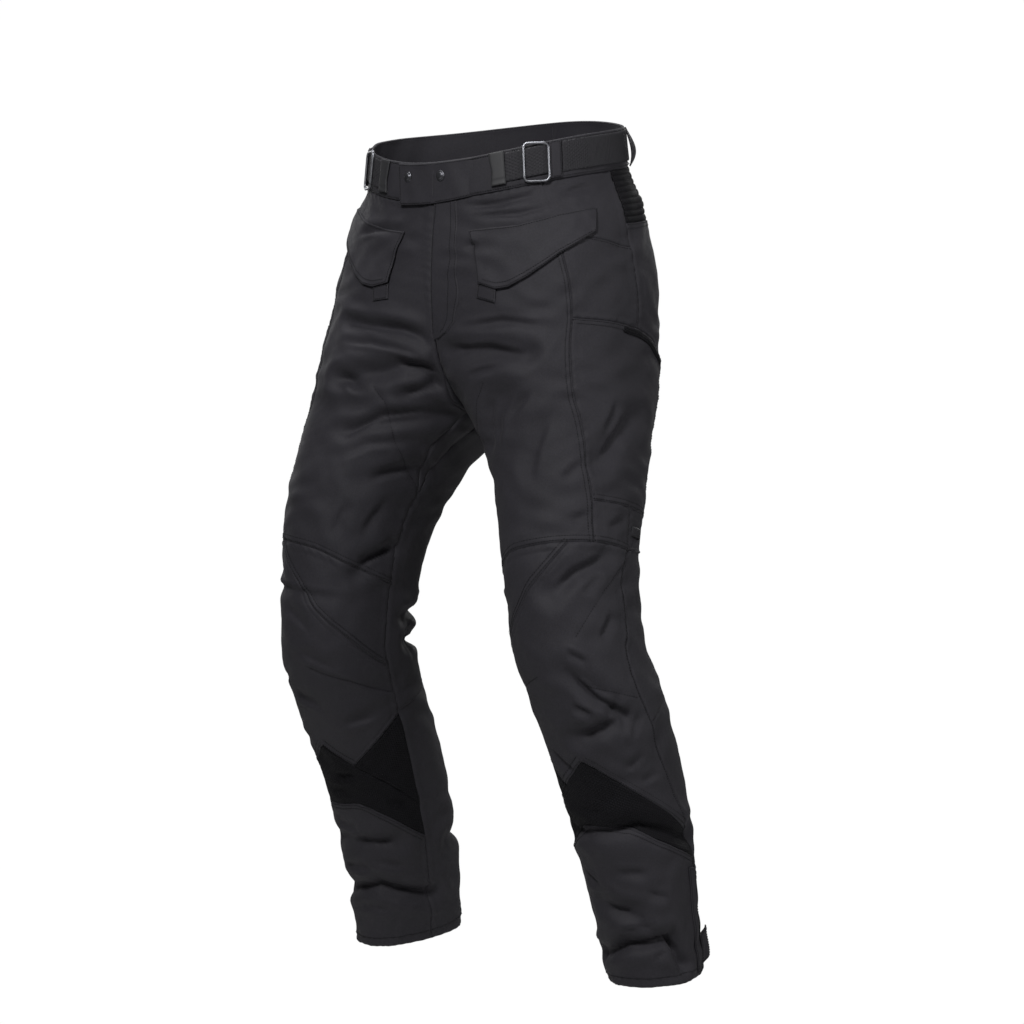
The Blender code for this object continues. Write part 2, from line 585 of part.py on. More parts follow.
def add_snap(name, leg, turn, drop, height, material):
    """Press stud's cap: a low cone with a rounded edge, flat underneath."""
    at, _, _, out = local_frame(leg, turn, drop)
    mesh = bpy.data.meshes.new(name)
    shape = bmesh.new()
    bmesh.ops.create_cone(shape, cap_ends=True, segments=20, radius1=SNAP_RADIUS,
                          radius2=SNAP_RADIUS * 0.72, depth=SNAP_HEIGHT)
    rim = [edge for edge in shape.edges if all(v.co.z > 0 for v in edge.verts)]
    bmesh.ops.bevel(shape, geom=rim, offset=SNAP_HEIGHT * 0.4, segments=2, affect="EDGES", profile=0.5)
    turned = Vector((0, 0, 1)).rotation_difference(out).to_matrix().to_4x4()
    middle = at + out * (height * MM + GAP + SNAP_HEIGHT / 2)
    bmesh.ops.transform(shape, matrix=Matrix.Translation(middle) @ turned, verts=shape.verts)
    shape.to_mesh(mesh)
    shape.free()
    mesh.materials.append(material)
    parts.objects.link(bpy.data.objects.new(name, mesh))
    mesh.shade_smooth()
    mesh.set_sharp_from_angle(angle=math.radians(40))


def make_material(name):
    colour, roughness, metallic = FINISHES[name]
    material = bpy.data.materials.new(name)
    material.use_nodes = True
    shader = material.node_tree.nodes["Principled BSDF"]
    shader.inputs["Base Color"].default_value = (*colour, 1.0)
    shader.inputs["Roughness"].default_value = roughness
    shader.inputs["Metallic"].default_value = metallic
    material.diffuse_color = (*colour, 1.0)
    return material


def flat_height(value):
    return lambda at: np.full(len(at), value)


def tab_height(value):
    """The hem tab's height, which grows towards its free rear end."""
    return lambda at: value + TAB_LIFT * smooth_step((at[:, 0] - TAB_LIFT_FROM) / (TAB_LIFT_TO - TAB_LIFT_FROM))


def ribbed_height(at):
    return rib_height(at[:, 0], at[:, 1]) / MM


for old in list(bpy.data.objects):
    bpy.data.objects.remove(old, do_unlink=True)
parts = bpy.data.collections.new(NAME)
bpy.context.scene.collection.children.link(parts)
materials = {name: make_material(name) for name in FINISHES}

PLACES, FACES, SEWN = flat_mesh()
PLACES[np.abs(PLACES[:, 0] + 180) < 1e-3, 0] = -180
PLACES[np.abs(PLACES[:, 0] - 180) < 1e-3, 0] = 180
back_edge = {round(drop, 5): i for i, (turn, drop) in enumerate(PLACES) if turn == 180}
INNER_TWIN = {i: back_edge[round(drop, 5)] for i, (turn, drop) in enumerate(PLACES)
              if turn == -180 and drop >= CROTCH_DROP}
POINTS, NORMALS = {}, {}
for side in (1, -1):
    NORMALS[side] = surface_normal(side, PLACES[:, 0], PLACES[:, 1])
    height = fold_height(side, PLACES[:, 0], PLACES[:, 1])
    POINTS[side] = body_surface(side, PLACES[:, 0], PLACES[:, 1]) + NORMALS[side] * height[:, None]

SIDE_NAME = {1: "left", -1: "right"}
for panel, indices in panel_faces(PLACES, FACES, SEWN).items():
    _, proud, thick, finish = PANELS[panel]
    height_over = ribbed_height if panel == "back_stretch" else flat_height(proud)
    for side in (1, -1):
        wall(f"{panel}_{SIDE_NAME[side]}", [(side, [FACES[i] for i in indices])],
             height_over, flat_height(proud - thick), materials[finish])

centres = PLACES[np.array(FACES)].mean(1)
layer_sides = {}
for layer, legs, base, thick, outline in LAYERS:
    covered = [FACES[i] for i in np.flatnonzero(inside(outline, centres))]
    for side in legs:
        node = layer if layer in SINGLE else f"{layer}_{SIDE_NAME[side]}"
        layer_sides.setdefault(node, (layer, base, thick, []))[3].append((side, covered))
for node, (layer, base, thick, sides) in layer_sides.items():
    height_of = tab_height if layer == "hem_tab" else flat_height
    finish = LAYER_MATERIAL.get(layer, "shell_cloth")
    wall(node, sides, height_of(base + thick), height_of(base), materials[finish])

for side in (1, -1):
    add_ring(f"ring_buckle_{SIDE_NAME[side]}", side, RING_TURN, RING_DROP, materials["buckle_metal"])
    add_rear_loop(f"rear_loop_{SIDE_NAME[side]}", side, materials["shell_cloth"])
TAB_TOP = 2.1 + 2.2
for name, side, turn in (("snap_outer", -1, -158.0), ("snap_inner", 1, -175.0)):
    add_snap(name, side, turn, SNAP_DROP, TAB_TOP, materials["snap_metal"])
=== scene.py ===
"""The look of the motorcycle trousers: cloth, folds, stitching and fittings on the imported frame.

Metres, +Z up, the front faces -Y and the wearer's left is +X. leg is 1 for the left leg and -1 for the
right. A place on the cloth is a turn round the leg in degrees (-180 the inner edge of the front, 0 the
outer side, 180 the inner edge of the back) and a drop down from the waist's edge.
"""
import math

import bmesh
import bpy
import numpy as np
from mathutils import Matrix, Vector


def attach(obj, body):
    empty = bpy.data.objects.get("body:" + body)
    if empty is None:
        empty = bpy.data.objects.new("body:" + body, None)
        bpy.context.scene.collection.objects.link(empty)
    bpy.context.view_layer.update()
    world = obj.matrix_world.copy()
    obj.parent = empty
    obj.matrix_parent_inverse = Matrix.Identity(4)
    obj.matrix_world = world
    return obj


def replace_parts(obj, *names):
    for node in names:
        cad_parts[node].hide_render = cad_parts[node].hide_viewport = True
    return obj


MM = 0.001
HEM_DROP = 1.090
CROTCH_DROP = 0.340
BAND_DROP = 0.052
PER_DEGREE = 0.00142
FADE_TURN = 14.0
GAP = 0.0003
CELL = 0.0034
BACK_CELL = 0.0042
EDGE_CELLS = [0.0, 0.0006, 0.0014, 0.0025, 0.0040, 0.0060]
CLOTH_THICK = 0.0013
BAND_THICK = 0.0026
RIBBED_THICK = 0.0012
WELD = 2e-6
LEAST_SIDE = 0.0105
STRETCH_DROP = 0.120
RIBS = 9
TUCK = 0.0007
COMB_WAVE = 0.0038
SLANT = 0.866
STITCH_PITCH = 0.0033
STITCH_LONG = 0.0024
THREAD_RADIUS = 0.00042
STRAP_BASE = 0.0018
WEBBING_THICK = 0.0016
RING_TURN = -87.0
RING_DROP = 0.025
RING_WIDTH = 0.034
RING_HEIGHT = 0.050
RING_WIRE = 0.0034
RING_CORNER = 0.006
RING_SINK = 0.0007
LOOP_TURN = (55.5, 66.0)
LOOP_DROP = (0.002, 0.053)
LOOP_THICK = 0.0017
LOOP_BASE_MM = 3.6
LOOP_RISE_MM = 9.0
SNAP_DROP = 0.020
SNAP_BASE_MM = 4.4
SIDE_NAME = {1: "left", -1: "right"}
# Metres for a degree of turn and for a metre of drop, in the flat layout.
FLAT = np.array([PER_DEGREE, 1.0])

SECTIONS = """
drop   out    inn    fore   aft    square span
0.000  0.168  0.168  0.130  0.126  2.30   90
0.048  0.172  0.172  0.131  0.130  2.35   90
0.110  0.185  0.181  0.132  0.141  2.40   90
0.170  0.182  0.160  0.131  0.147  2.45   95
0.230  0.163  0.136  0.128  0.146  2.45   108
0.285  0.140  0.116  0.124  0.140  2.45   128
0.340  0.117  0.102  0.117  0.127  2.40   150
0.400  0.101  0.085  0.108  0.112  2.30   168
0.480  0.089  0.076  0.099  0.099  2.25   180
0.560  0.081  0.071  0.094  0.090  2.20   180
0.640  0.077  0.070  0.090  0.084  2.20   180
0.720  0.078  0.071  0.087  0.081  2.20   180
0.820  0.073  0.069  0.078  0.083  2.20   180
0.920  0.067  0.066  0.074  0.081  2.20   180
1.000  0.060  0.061  0.072  0.079  2.20   180
1.090  0.055  0.055  0.070  0.077  2.20   180
"""
POSE = """
drop   x      y      z      tip   roll  toe  saddle
0.000  0.000  0.000  0.022  17    0     0    0.35
0.048  0.000  0.000 -0.024  16    0     0    0.35
0.110  0.010 -0.002 -0.084  12.5  0     0    0.30
0.170  0.026 -0.004 -0.144  8     0     0    0.20
0.230  0.050 -0.006 -0.204  4     2     0    0
0.285  0.074 -0.010 -0.258  0     4     0    0
0.340  0.102 -0.016 -0.312  -4    6     0    0
0.400  0.121 -0.024 -0.370  -8    7     4    0
0.480  0.138 -0.040 -0.446  -10   7     6    0
0.560  0.152 -0.056 -0.524  -6    6     8    0
0.640  0.166 -0.060 -0.602  4     5     10   0
0.720  0.182 -0.038 -0.678  12    4     12   0
0.820  0.195 -0.007 -0.774  14    3     14   0
0.920  0.203  0.016 -0.868  12    2     15   0
1.000  0.208  0.031 -0.940  8     2     16   0
1.090  0.213  0.045 -1.018  4     2     16   0
"""
STRIDE = """
drop   x      y      z      tip   swing  hike
0.000  0.000  0.000  0.000  0     0      0.55
0.110  0.000  0.000  0.000  0     0      0.50
0.230  0.000  0.000  0.000  0    -0.08   0.20
0.285  0.000  0.000  0.000  0    -0.14   0.08
0.340  0.000  0.000  0.000  0    -0.16   0
0.400  0.010 -0.026  0.000  0    -0.04   0
0.480  0.014 -0.040  0.000  0     0      0
0.560  0.012 -0.030  0.000  0     0      0
0.640  0.008 -0.022  0.000  0     0      0
0.720  0.001 -0.010  0.000  1     0      0
0.820 -0.006  0.004  0.006  2     0      0
0.920 -0.008  0.018  0.008  3     0      0
1.000 -0.006  0.028  0.010  4     0      0
1.090 -0.004  0.034  0.012  5     0      0
"""
# Every fold: leg, half width and depth in mm, taper, then the places its trough runs through. taper is the
# share of the trough at each end over which it fades; those with almost none are the part's own.
FOLDS = """
-1 12 7 .02 -98 .316 -143 .292 -176 .304
-1 12 4 .02 -109 .232 -168 .250
-1 10 4 .02 -140 .334 -168 .316
-1 12 5 .02 -110 .386 -161 .348
-1 14 3 .02 -136 .446 -172 .420
-1 12 4 .02 -150 .556 -176 .522
-1 14 4 .02 -60 .914 -150 .922
-1 15 6 .02 -50 .998 -124 .988 -180 1.016
-1 14 6 .02 100 .600 156 .612
-1 14 6 .02 90 .650 150 .646
-1 16 5 .02 64 .330 146 .352
-1 14 5 .02 70 .940 150 .950
1 14 5 .02 -158 .272 -94 .290
1 14 5 .02 -108 .344 -130 .402
1 14 4 .02 -34 .438 2 .370
1 12 4 .02 -78 .586 -24 .548
1 14 4 .02 -76 .668 -34 .728
1 12 5 .02 -88 .742 -46 .726
1 14 5 .02 -150 .868 -58 .858 8 .896
1 14 4 .02 -118 .962 -78 .980
1 12 7 .02 -150 1.048 -92 1.024 -42 1.020 -28 1.064
1 14 6 .02 40 .585 120 .605
1 14 6 .02 36 .660 130 .650
1 16 5 .02 70 .318 150 .350
1 14 4 .02 80 .930 150 .945
-1 6 3.6 .35 -94 .312 -103 .320 -110 .338
-1 5 3.0 .25 -136 .290 -160 .291 -178 .300
-1 7 2.6 .30 -105 .228 -130 .236 -150 .240 -174 .258
-1 6 2.6 .30 -98 .262 -126 .262 -150 .272 -172 .280
-1 5 2.8 .30 -138 .332 -164 .318 -178 .312
-1 6 3.4 .30 -106 .394 -126 .362 -161 .344
-1 7 2.4 .35 -104 .430 -130 .400 -166 .384
-1 6 2.8 .35 -138 .446 -174 .416
-1 6 2.2 .40 -161 .456 -152 .490 -147 .518
-1 7 1.8 .40 -130 .470 -122 .520
-1 5 3.0 .25 -150 .554 -165 .534 -180 .518
-1 6 2.6 .35 -184 .590 166 .580 151 .576
-1 5 2.6 .40 153 .610 144 .648 149 .686
-1 6 2.8 .35 -85 .822 -126 .814
-1 6 2.2 .35 -70 .842 -118 .840
-1 5 2.4 .35 -145 .860 -171 .876
-1 6 3.0 .30 -92 .912 -153 .924
-1 7 2.2 .30 -70 .884 -112 .900
-1 6 2.6 .35 -65 .956 -124 .960
-1 6 2.2 .35 -110 .942 -160 .966
-1 5 4.0 .20 -62 1.004 -92 .994 -124 .988 -160 1.006 -190 1.020
-1 7 2.4 .40 -70 1.030 -108 1.022 -150 1.036
-1 7 2.4 .40 -60 .700 -112 .716
-1 7 2.0 .40 -84 .648 -140 .672
-1 7 2.0 .40 -70 .602 -112 .630
-1 7 2.0 .40 -120 .740 -165 .736
-1 6 2.4 .35 -40 .560 -76 .590
-1 6 2.6 .35 -30 .668 -66 .700
-1 6 2.6 .35 -24 .420 2 .372
-1 6 2.6 .35 -100 .112 -128 .100 -150 .096
1 4 2.8 .30 -162 .064 -124 .067 -86 .063
1 4 2.4 .35 -154 .080 -112 .086 -69 .082
1 5 2.2 .35 -72 .074 -40 .066 -18 .070
1 5 1.6 .35 -160 .118 -150 .126
1 6 2.8 .30 -160 .268 -126 .272 -92 .292
1 7 2.2 .30 -156 .240 -124 .236 -86 .250
1 5 2.2 .35 -136 .309 -111 .302
1 6 3.2 .30 -110 .342 -119 .372 -128 .404
1 6 2.4 .35 -98 .330 -108 .378 -114 .420
1 6 2.2 .40 -84 .340 -94 .362 -102 .384
1 7 2.2 .40 -72 .372 -84 .424 -88 .470
1 6 2.6 .30 -33 .440 -9 .382 5 .364
1 5 2.0 .35 -30 .404 -12 .352
1 5 2.0 .40 -27 .520 -2 .496
1 5 2.0 .40 -58 .512 -41 .500
1 6 2.4 .35 -64 .466 -46 .436
1 6 3.4 .30 -78 .588 -55 .566 -21 .547
1 5 2.2 .30 -52 .592 -30 .566
1 5 2.8 .35 -73 .644 -54 .660
1 5 2.4 .35 -40 .640 -22 .610
1 6 3.8 .30 -77 .666 -59 .700 -30 .728
1 6 3.6 .30 -90 .742 -66 .730 -44 .726
1 5 2.6 .35 -84 .700 -66 .716
1 4 2.0 .35 -27 .710 -56 .756
1 4 2.0 .35 -20 .724 -45 .756
1 4 1.8 .40 -32 .694 -66 .734
1 5 2.4 .35 -30 .770 -62 .790
1 5 2.0 .35 -22 .800 -48 .806
1 6 2.4 .35 -128 .752 -100 .790
1 5 3.2 .25 -151 .872 -100 .862 -58 .857 -20 .876 9 .898
1 6 2.4 .35 -118 .830 -82 .834
1 6 2.6 .35 -96 .916 -57 .920
1 6 2.6 .35 -114 .966 -78 .978
1 6 2.2 .35 -64 .948 -36 .962
1 6 2.4 .35 -140 .918 -108 .940
1 5 4.4 .20 -149 1.050 -92 1.025 -45 1.018 -33 1.040 -28 1.064
1 6 2.8 .35 -100 1.002 -58 .996
1 5 2.4 .35 -70 1.046 -50 1.036
1 6 2.4 .35 -170 .566 -140 .590
1 6 2.6 .35 -176 .486 -150 .450
1 6 2.2 .35 -170 .410 -146 .380
1 6 3.0 .30 60 .312 100 .330 150 .352
1 6 2.6 .35 84 .300 156 .296
1 6 3.0 .30 50 .590 90 .596 122 .606
1 6 3.0 .30 44 .655 90 .662 134 .648
1 6 2.4 .35 70 .628 140 .634
1 6 2.6 .35 70 .926 112 .940 150 .944
1 6 2.4 .35 60 1.010 120 1.026
1 7 2.2 .35 60 .420 110 .450
-1 6 3.0 .30 56 .326 104 .340 150 .352
-1 6 2.6 .35 90 .302 160 .300
-1 6 3.0 .30 88 .606 124 .600 156 .614
-1 6 3.0 .30 84 .654 120 .650 150 .646
-1 6 2.6 .35 60 .946 104 .938 148 .954
-1 6 2.4 .35 56 1.016 120 1.020
-1 7 2.2 .35 70 .440 120 .470
"""
SEAMS = {
    "band": [(-180, 0.052), (-82, 0.052), (2, 0.052), (180, 0.052)],
    "crotch": [(-180, 0.300), (-172, 0.336), (-170, 0.370), (-174, 0.410), (-180, 0.450)],
    "front_side": [(-82, 0.052), (-78, 0.124), (-62, 0.240), (-52, 0.340), (-42, 0.450), (-38, 0.487),
                   (-36, 0.534)],
    "side": [(2, 0.052), (2, 0.120), (3, 0.150), (5, 0.258)],
    "stretch_bottom": [(2, 0.120), (48, 0.120), (96, 0.120), (138, 0.120), (180, 0.120)],
    "yoke": [(-78, 0.124), (-45, 0.132), (3, 0.150)],
    "pocket_top": [(-62, 0.240), (-8, 0.252), (5, 0.258), (50, 0.290)],
    "pocket_back": [(50, 0.290), (46, 0.390), (42, 0.487)],
    "pocket_bottom": [(-38, 0.487), (0, 0.487), (42, 0.487)],
    "outseam_low": [(0, 0.487), (0, 0.538)],
    "back_low": [(42, 0.487), (38, 0.530), (0, 0.538)],
    "knee_top": [(-180, 0.566), (-142, 0.550), (-100, 0.537), (-58, 0.534), (-36, 0.534), (0, 0.538)],
    "knee_diagonal": [(-58, 0.534), (-82, 0.566), (-112, 0.603), (-148, 0.637), (-180, 0.676)],
    "outseam": [(0, 0.538), (-8, 0.580), (-6, 0.620), (-14, 0.660), (-18, 0.710), (-17, 0.740),
                (-18, 0.770), (-12, 0.820), (8, 0.890)],
    "outseam_shin": [(8, 0.890), (9, 0.926), (6, 0.990), (4, 1.090)],
    "knee_back": [(-17, 0.740), (40, 0.722), (110, 0.722), (180, 0.738)],
    "gusset_back": [(9, 0.926), (36, 0.980), (40, 1.040), (40, 1.090)],
    "knee_inner_low": [(-180, 0.744), (-152, 0.772), (-122, 0.802)],
    "stretch_top_in": [(-180, 0.877), (-152, 0.834), (-122, 0.802), (-92, 0.770)],
    "stretch_top_out": [(-92, 0.770), (-52, 0.818), (8, 0.890)],
    "stretch_low": [(-180, 0.924), (-140, 0.876), (-112, 0.856), (-70, 0.860), (-38, 0.884), (9, 0.926)],
}
STRAIGHT = ("band", "stretch_bottom", "outseam_low", "pocket_bottom")
# Each panel's four edges: runs of (seam, first place, last place), or of plain places joined straight.
PANELS = {
    "front_thigh": dict(
        top=[("band", 0, 1)], bottom=[("knee_top", 0, 4)], right=[("front_side", 0, 6)],
        left=[[(-180, 0.052), (-180, 0.300)], ("crotch", 0, 4), [(-180, 0.450), (-180, 0.566)]]),
    "side_yoke": dict(
        top=[("band", 1, 2)], bottom=[("yoke", 0, 2)], left=[("front_side", 0, 1)], right=[("side", 0, 2)]),
    "hip_side": dict(
        top=[("yoke", 0, 2)], bottom=[("pocket_top", 0, 2)], left=[("front_side", 1, 2)],
        right=[("side", 2, 3)]),
    "cargo_pocket": dict(
        top=[("pocket_top", 0, 3)], bottom=[("pocket_bottom", 0, 2)], left=[("front_side", 2, 5)],
        right=[("pocket_back", 0, 2)]),
    "side_lower": dict(
        top=[("pocket_bottom", 0, 1)], bottom=[("knee_top", 4, 5)], left=[("front_side", 5, 6)],
        right=[("outseam_low", 0, 1)]),
    "side_rear": dict(
        top=[("pocket_bottom", 1, 2)], bottom=[[(0, 0.538), (0, 0.538)]], left=[("outseam_low", 0, 1)],
        right=[("back_low", 0, 2)]),
    "back_thigh": dict(
        top=[("stretch_bottom", 0, 4)], bottom=[("knee_back", 0, 3)], right=[[(180, 0.120), (180, 0.738)]],
        left=[("side", 1, 3), ("pocket_top", 2, 3), ("pocket_back", 0, 2), ("back_low", 0, 2),
              ("outseam", 0, 5)]),
    "knee_inner": dict(
        top=[("knee_top", 0, 3)], bottom=[("knee_diagonal", 4, 0)], left=[[(-180, 0.566), (-180, 0.676)]],
        right=[[(-58, 0.534), (-58, 0.534)]]),
    "knee_main": dict(
        top=[("knee_diagonal", 4, 0), ("knee_top", 3, 5)], right=[("outseam", 0, 8)],
        bottom=[("knee_inner_low", 0, 2), ("stretch_top_in", 2, 3), ("stretch_top_out", 0, 2)],
        left=[[(-180, 0.676), (-180, 0.744)]]),
    "knee_gusset": dict(
        top=[("knee_inner_low", 0, 2)], bottom=[("stretch_top_in", 0, 2)],
        left=[[(-180, 0.744), (-180, 0.877)]], right=[[(-122, 0.802), (-122, 0.802)]]),
    "knee_stretch": dict(
        top=[("stretch_top_in", 0, 3), ("stretch_top_out", 0, 2)], bottom=[("stretch_low", 0, 5)],
        left=[[(-180, 0.877), (-180, 0.924)]], right=[("outseam_shin", 0, 1)]),
    "shin": dict(
        top=[("stretch_low", 0, 5)], bottom=[[(-180, 1.090), (4, 1.090)]],
        left=[[(-180, 0.924), (-180, 1.090)]], right=[("outseam_shin", 1, 3)]),
    "back_calf": dict(
        top=[("knee_back", 0, 3)], bottom=[[(40, 1.090), (180, 1.090)]],
        left=[("outseam", 5, 8), ("outseam_shin", 0, 1), ("gusset_back", 0, 3)],
        right=[[(180, 0.738), (180, 1.090)]]),
    "calf_gusset": dict(
        top=[[(9, 0.926), (9, 0.926)]], bottom=[[(4, 1.090), (40, 1.090)]], left=[("outseam_shin", 1, 3)],
        right=[("gusset_back", 0, 3)]),
}
CROTCH_PATCH = dict(
    top=[[(-180, 0.300), (-180, 0.300)]], bottom=[[(-180, 0.450), (-180, 0.450)]],
    left=[[(-180, 0.300), (-180, 0.450)]], right=[("crotch", 0, 4)])
# knee_stretch and calf_gusset are dark stretch cloth. knee_gusset is shell cloth in shade, and its dark
# stretch finish is painted shade.
STRETCH_AND_SHADED_PANELS = ("knee_stretch", "knee_gusset", "calf_gusset")
# Rows of stitches on both legs: lift above the panel in mm, sideways shift in mm, then the line as runs.
STITCHES = [
    (0.0, 2.4, [("front_side", 1, 6)]),
    (0.0, 7.0, [("front_side", 1, 6)]),
    (0.0, 2.4, [("yoke", 0, 2)]),
    (0.0, 2.4, [("pocket_top", 0, 2)]),
    (0.0, 7.5, [("pocket_top", 0, 2)]),
    (0.0, -2.4, [("pocket_bottom", 0, 2)]),
    (0.0, -7.5, [("pocket_bottom", 0, 2)]),
    (0.0, 2.4, [("pocket_back", 0, 2)]),
    (0.0, -2.4, [("knee_top", 0, 5)]),
    (0.0, -7.0, [("knee_top", 0, 5)]),
    (0.0, 2.4, [("knee_diagonal", 0, 4)]),
    (0.0, 6.5, [("knee_diagonal", 0, 4)]),
    (0.0, 2.4, [("outseam", 0, 8)]),
    (0.0, -2.4, [("stretch_top_out", 0, 2)]),
    (0.0, -8.0, [("stretch_top_out", 0, 2)]),
    (0.0, -2.4, [("stretch_top_in", 0, 3)]),
    (0.0, -8.0, [("stretch_top_in", 0, 3)]),
    (0.0, -2.4, [("knee_inner_low", 0, 2)]),
    (0.0, 2.4, [("stretch_low", 0, 5)]),
    (0.0, 7.0, [("stretch_low", 0, 5)]),
    (0.0, 2.4, [("outseam_shin", 1, 3)]),
    (0.0, -2.4, [("gusset_back", 0, 3)]),
    (0.0, 2.4, [("stretch_bottom", 0, 4)]),
    (0.0, 7.0, [("stretch_bottom", 0, 4)]),
    (0.0, 2.0, [[(-180, 1.074), (180, 1.074)]]),
    (1.5, 3.0, [[(-179, 0.0), (179, 0.0)]]),
    (1.5, -3.0, [("band", 0, 3)]),
    (0.0, 0.0, [[(-104, 0.670), (-144, 0.686), (-178, 0.711)]]),
    (0.0, 0.0, [[(-3, 0.550), (-30, 0.588), (-61, 0.632)]]),
    (0.0, 0.0, [[(-22, 0.708), (-44, 0.694), (-64, 0.684)]]),
    (0.0, 0.0, [[(-118, 0.322), (-130, 0.360), (-176, 0.438)]]),
]
# Darts: a narrow trough along each of these stitched lines.
DARTS = [[(-104, 0.670), (-144, 0.686), (-180, 0.711)], [(0, 0.550), (-30, 0.588), (-61, 0.632)],
         [(-19, 0.708), (-44, 0.694), (-64, 0.684)], [(-118, 0.322), (-130, 0.360), (-178, 0.440)]]


def honeycomb(x, y):
    """Raised cells 4.4 mm apart: the mean of three cosine waves 3.8 mm long and 120 degrees apart."""
    k = 2 * np.pi / COMB_WAVE
    return (np.cos(k * x) + np.cos(k * (0.5 * x + SLANT * y)) + np.cos(k * (0.5 * x - SLANT * y))) / 3


def read_table(text):
    """A text table as one array for each named column."""
    rows = [line.split() for line in text.strip().splitlines()]
    return {name: np.array([float(row[i]) for row in rows[1:]]) for i, name in enumerate(rows[0])}


SECTION_ROWS, POSE_ROWS, STRIDE_ROWS = read_table(SECTIONS), read_table(POSE), read_table(STRIDE)


def smooth_curve(knots, values, at):
    """Cubic through the knots. Its slope at a knot is the harmonic mean of the two neighbouring slopes,
    or 0 where they differ in sign."""
    step = np.diff(knots)
    rise = np.diff(values) / step
    same = rise[:-1] * rise[1:] > 0
    total = np.where(same, rise[:-1] + rise[1:], 1.0)
    middle = np.where(same, 2 * rise[:-1] * rise[1:] / total, 0.0)
    slope = np.concatenate([rise[:1], middle, rise[-1:]])
    at = np.clip(at, knots[0], knots[-1])
    i = np.clip(np.searchsorted(knots, at, side="right") - 1, 0, len(knots) - 2)
    h = step[i]
    t = (at - knots[i]) / h
    return ((2 * t**3 - 3 * t**2 + 1) * values[i] + (t**3 - 2 * t**2 + t) * h * slope[i]
            + (3 * t**2 - 2 * t**3) * values[i + 1] + (t**3 - t**2) * h * slope[i + 1])


def columns_at(rows, drop):
    """Every column of a table at these drops."""
    return {name: smooth_curve(rows["drop"], rows[name], drop) for name in rows if name != "drop"}


def signed_power(value, power):
    """|value| to the power, with value's sign."""
    return np.sign(value) * np.abs(value) ** power


def body_surface(leg, turn, drop):
    """Smooth form: across = cos(angle)^(2/square) * half width, along = sin(angle)^(2/square) * half
    depth, turned by toe, leaned by tip and roll and set at the pose's middle. angle grows with the turn
    and reaches the centre plane at turns of -180 and 180."""
    turn, drop = np.broadcast_arrays(np.asarray(turn, float), np.asarray(drop, float))
    size, pose = columns_at(SECTION_ROWS, drop), columns_at(POSE_ROWS, drop)
    stride = columns_at(STRIDE_ROWS, drop)
    own = 1.0 if leg < 0 else 0.0
    pose = {name: pose[name] + own * stride.get(name, 0.0) for name in pose}
    cut = np.where(drop < CROTCH_DROP, np.clip(pose["x"] / size["inn"], 0, 1), 1.0)
    edge = np.degrees(np.arccos(-cut ** (size["square"] / 2)))
    part = turn / 180
    angle = np.radians(part * (size["span"] + (edge - size["span"]) * np.abs(part) ** 6))
    power = 2 / size["square"]
    across = signed_power(np.cos(angle), power) * np.where(np.cos(angle) > 0, size["out"], size["inn"])
    along = signed_power(np.sin(angle), power) * np.where(np.sin(angle) > 0, size["aft"], size["fore"])
    tip, roll, toe = (np.radians(pose[name]) for name in ("tip", "roll", "toe"))
    flat_along = along * np.cos(tip)
    x = pose["x"] + across * np.cos(toe) - flat_along * np.sin(toe)
    y = pose["y"] + across * np.sin(toe) + flat_along * np.cos(toe)
    lift = along * np.sin(tip) * (1 - pose["saddle"] * (across / size["out"]) ** 2)
    z = pose["z"] + lift + across * np.sin(roll)
    y = y + own * stride["swing"] * x
    z = z + own * stride["hike"] * x**2
    return np.stack([leg * x, y, z], -1)


def surface_normal(leg, turn, drop):
    """Outward direction: the cross product of small steps down the drop and along the turn."""
    turn, drop = np.broadcast_arrays(np.asarray(turn, float), np.asarray(drop, float))
    along = (body_surface(leg, np.minimum(turn + 0.5, 180), drop)
             - body_surface(leg, np.maximum(turn - 0.5, -180), drop))
    down = (body_surface(leg, turn, np.minimum(drop + 0.001, HEM_DROP))
            - body_surface(leg, turn, np.maximum(drop - 0.001, 0)))
    normal = np.cross(down, along) * leg
    return normal / np.linalg.norm(normal, axis=-1, keepdims=True)


def smooth_step(value):
    """0 to 1 as 3v^2 - 2v^3."""
    value = np.clip(value, 0, 1)
    return value * value * (3 - 2 * value)


def run_length(points):
    """Length along a line of points, at each of them."""
    return np.concatenate([[0], np.cumsum(np.linalg.norm(np.diff(points, axis=0), axis=1))])


def nearest_on(line, turn, drop):
    """Distance from each place to a line of places, the side it lies on (-1 or 1) and its share of the
    line's length, all in the flat layout of PER_DEGREE metres a degree. Below the crotch a leg closes on
    itself, so the line is also met one full turn on."""
    flat = np.array(line, float) * FLAT
    before = run_length(flat)
    lengths = np.linalg.norm(np.diff(flat, axis=0), axis=1)
    best = np.full(np.shape(turn), 1.0)
    side, share = np.zeros(np.shape(turn)), np.zeros(np.shape(turn))
    for shift in (0, -360, 360):
        at = np.stack([(turn + shift) * PER_DEGREE, drop], -1)
        apart = 0.0 if shift == 0 else np.where(drop > CROTCH_DROP, 0.0, 1.0)
        for k, (a, b) in enumerate(zip(flat[:-1], flat[1:])):
            part = np.clip(((at - a) @ (b - a)) / ((b - a) @ (b - a)), 0, 1)
            off = at - a - part[..., None] * (b - a)
            far = np.linalg.norm(off, axis=-1) + apart
            near = far < best
            crossed = (b - a)[0] * off[..., 1] - (b - a)[1] * off[..., 0]
            turned = crossed / lengths[k] / np.maximum(far, 1e-6)
            side = np.where(near, turned, side)
            share = np.where(near, (before[k] + part * lengths[k]) / before[-1], share)
            best = np.where(near, far, best)
    return best, side, share


FOLD_LINES = [[float(word) for word in line.split()] for line in FOLDS.strip().splitlines()]


def centre_fade(turn, drop):
    """Above the crotch, 0 at the centre plane to 1 at FADE_TURN degrees from it; 1 below."""
    edge = smooth_step((180 - np.abs(turn)) / FADE_TURN)
    return np.where(drop < CROTCH_DROP + 0.02, edge, 1.0)


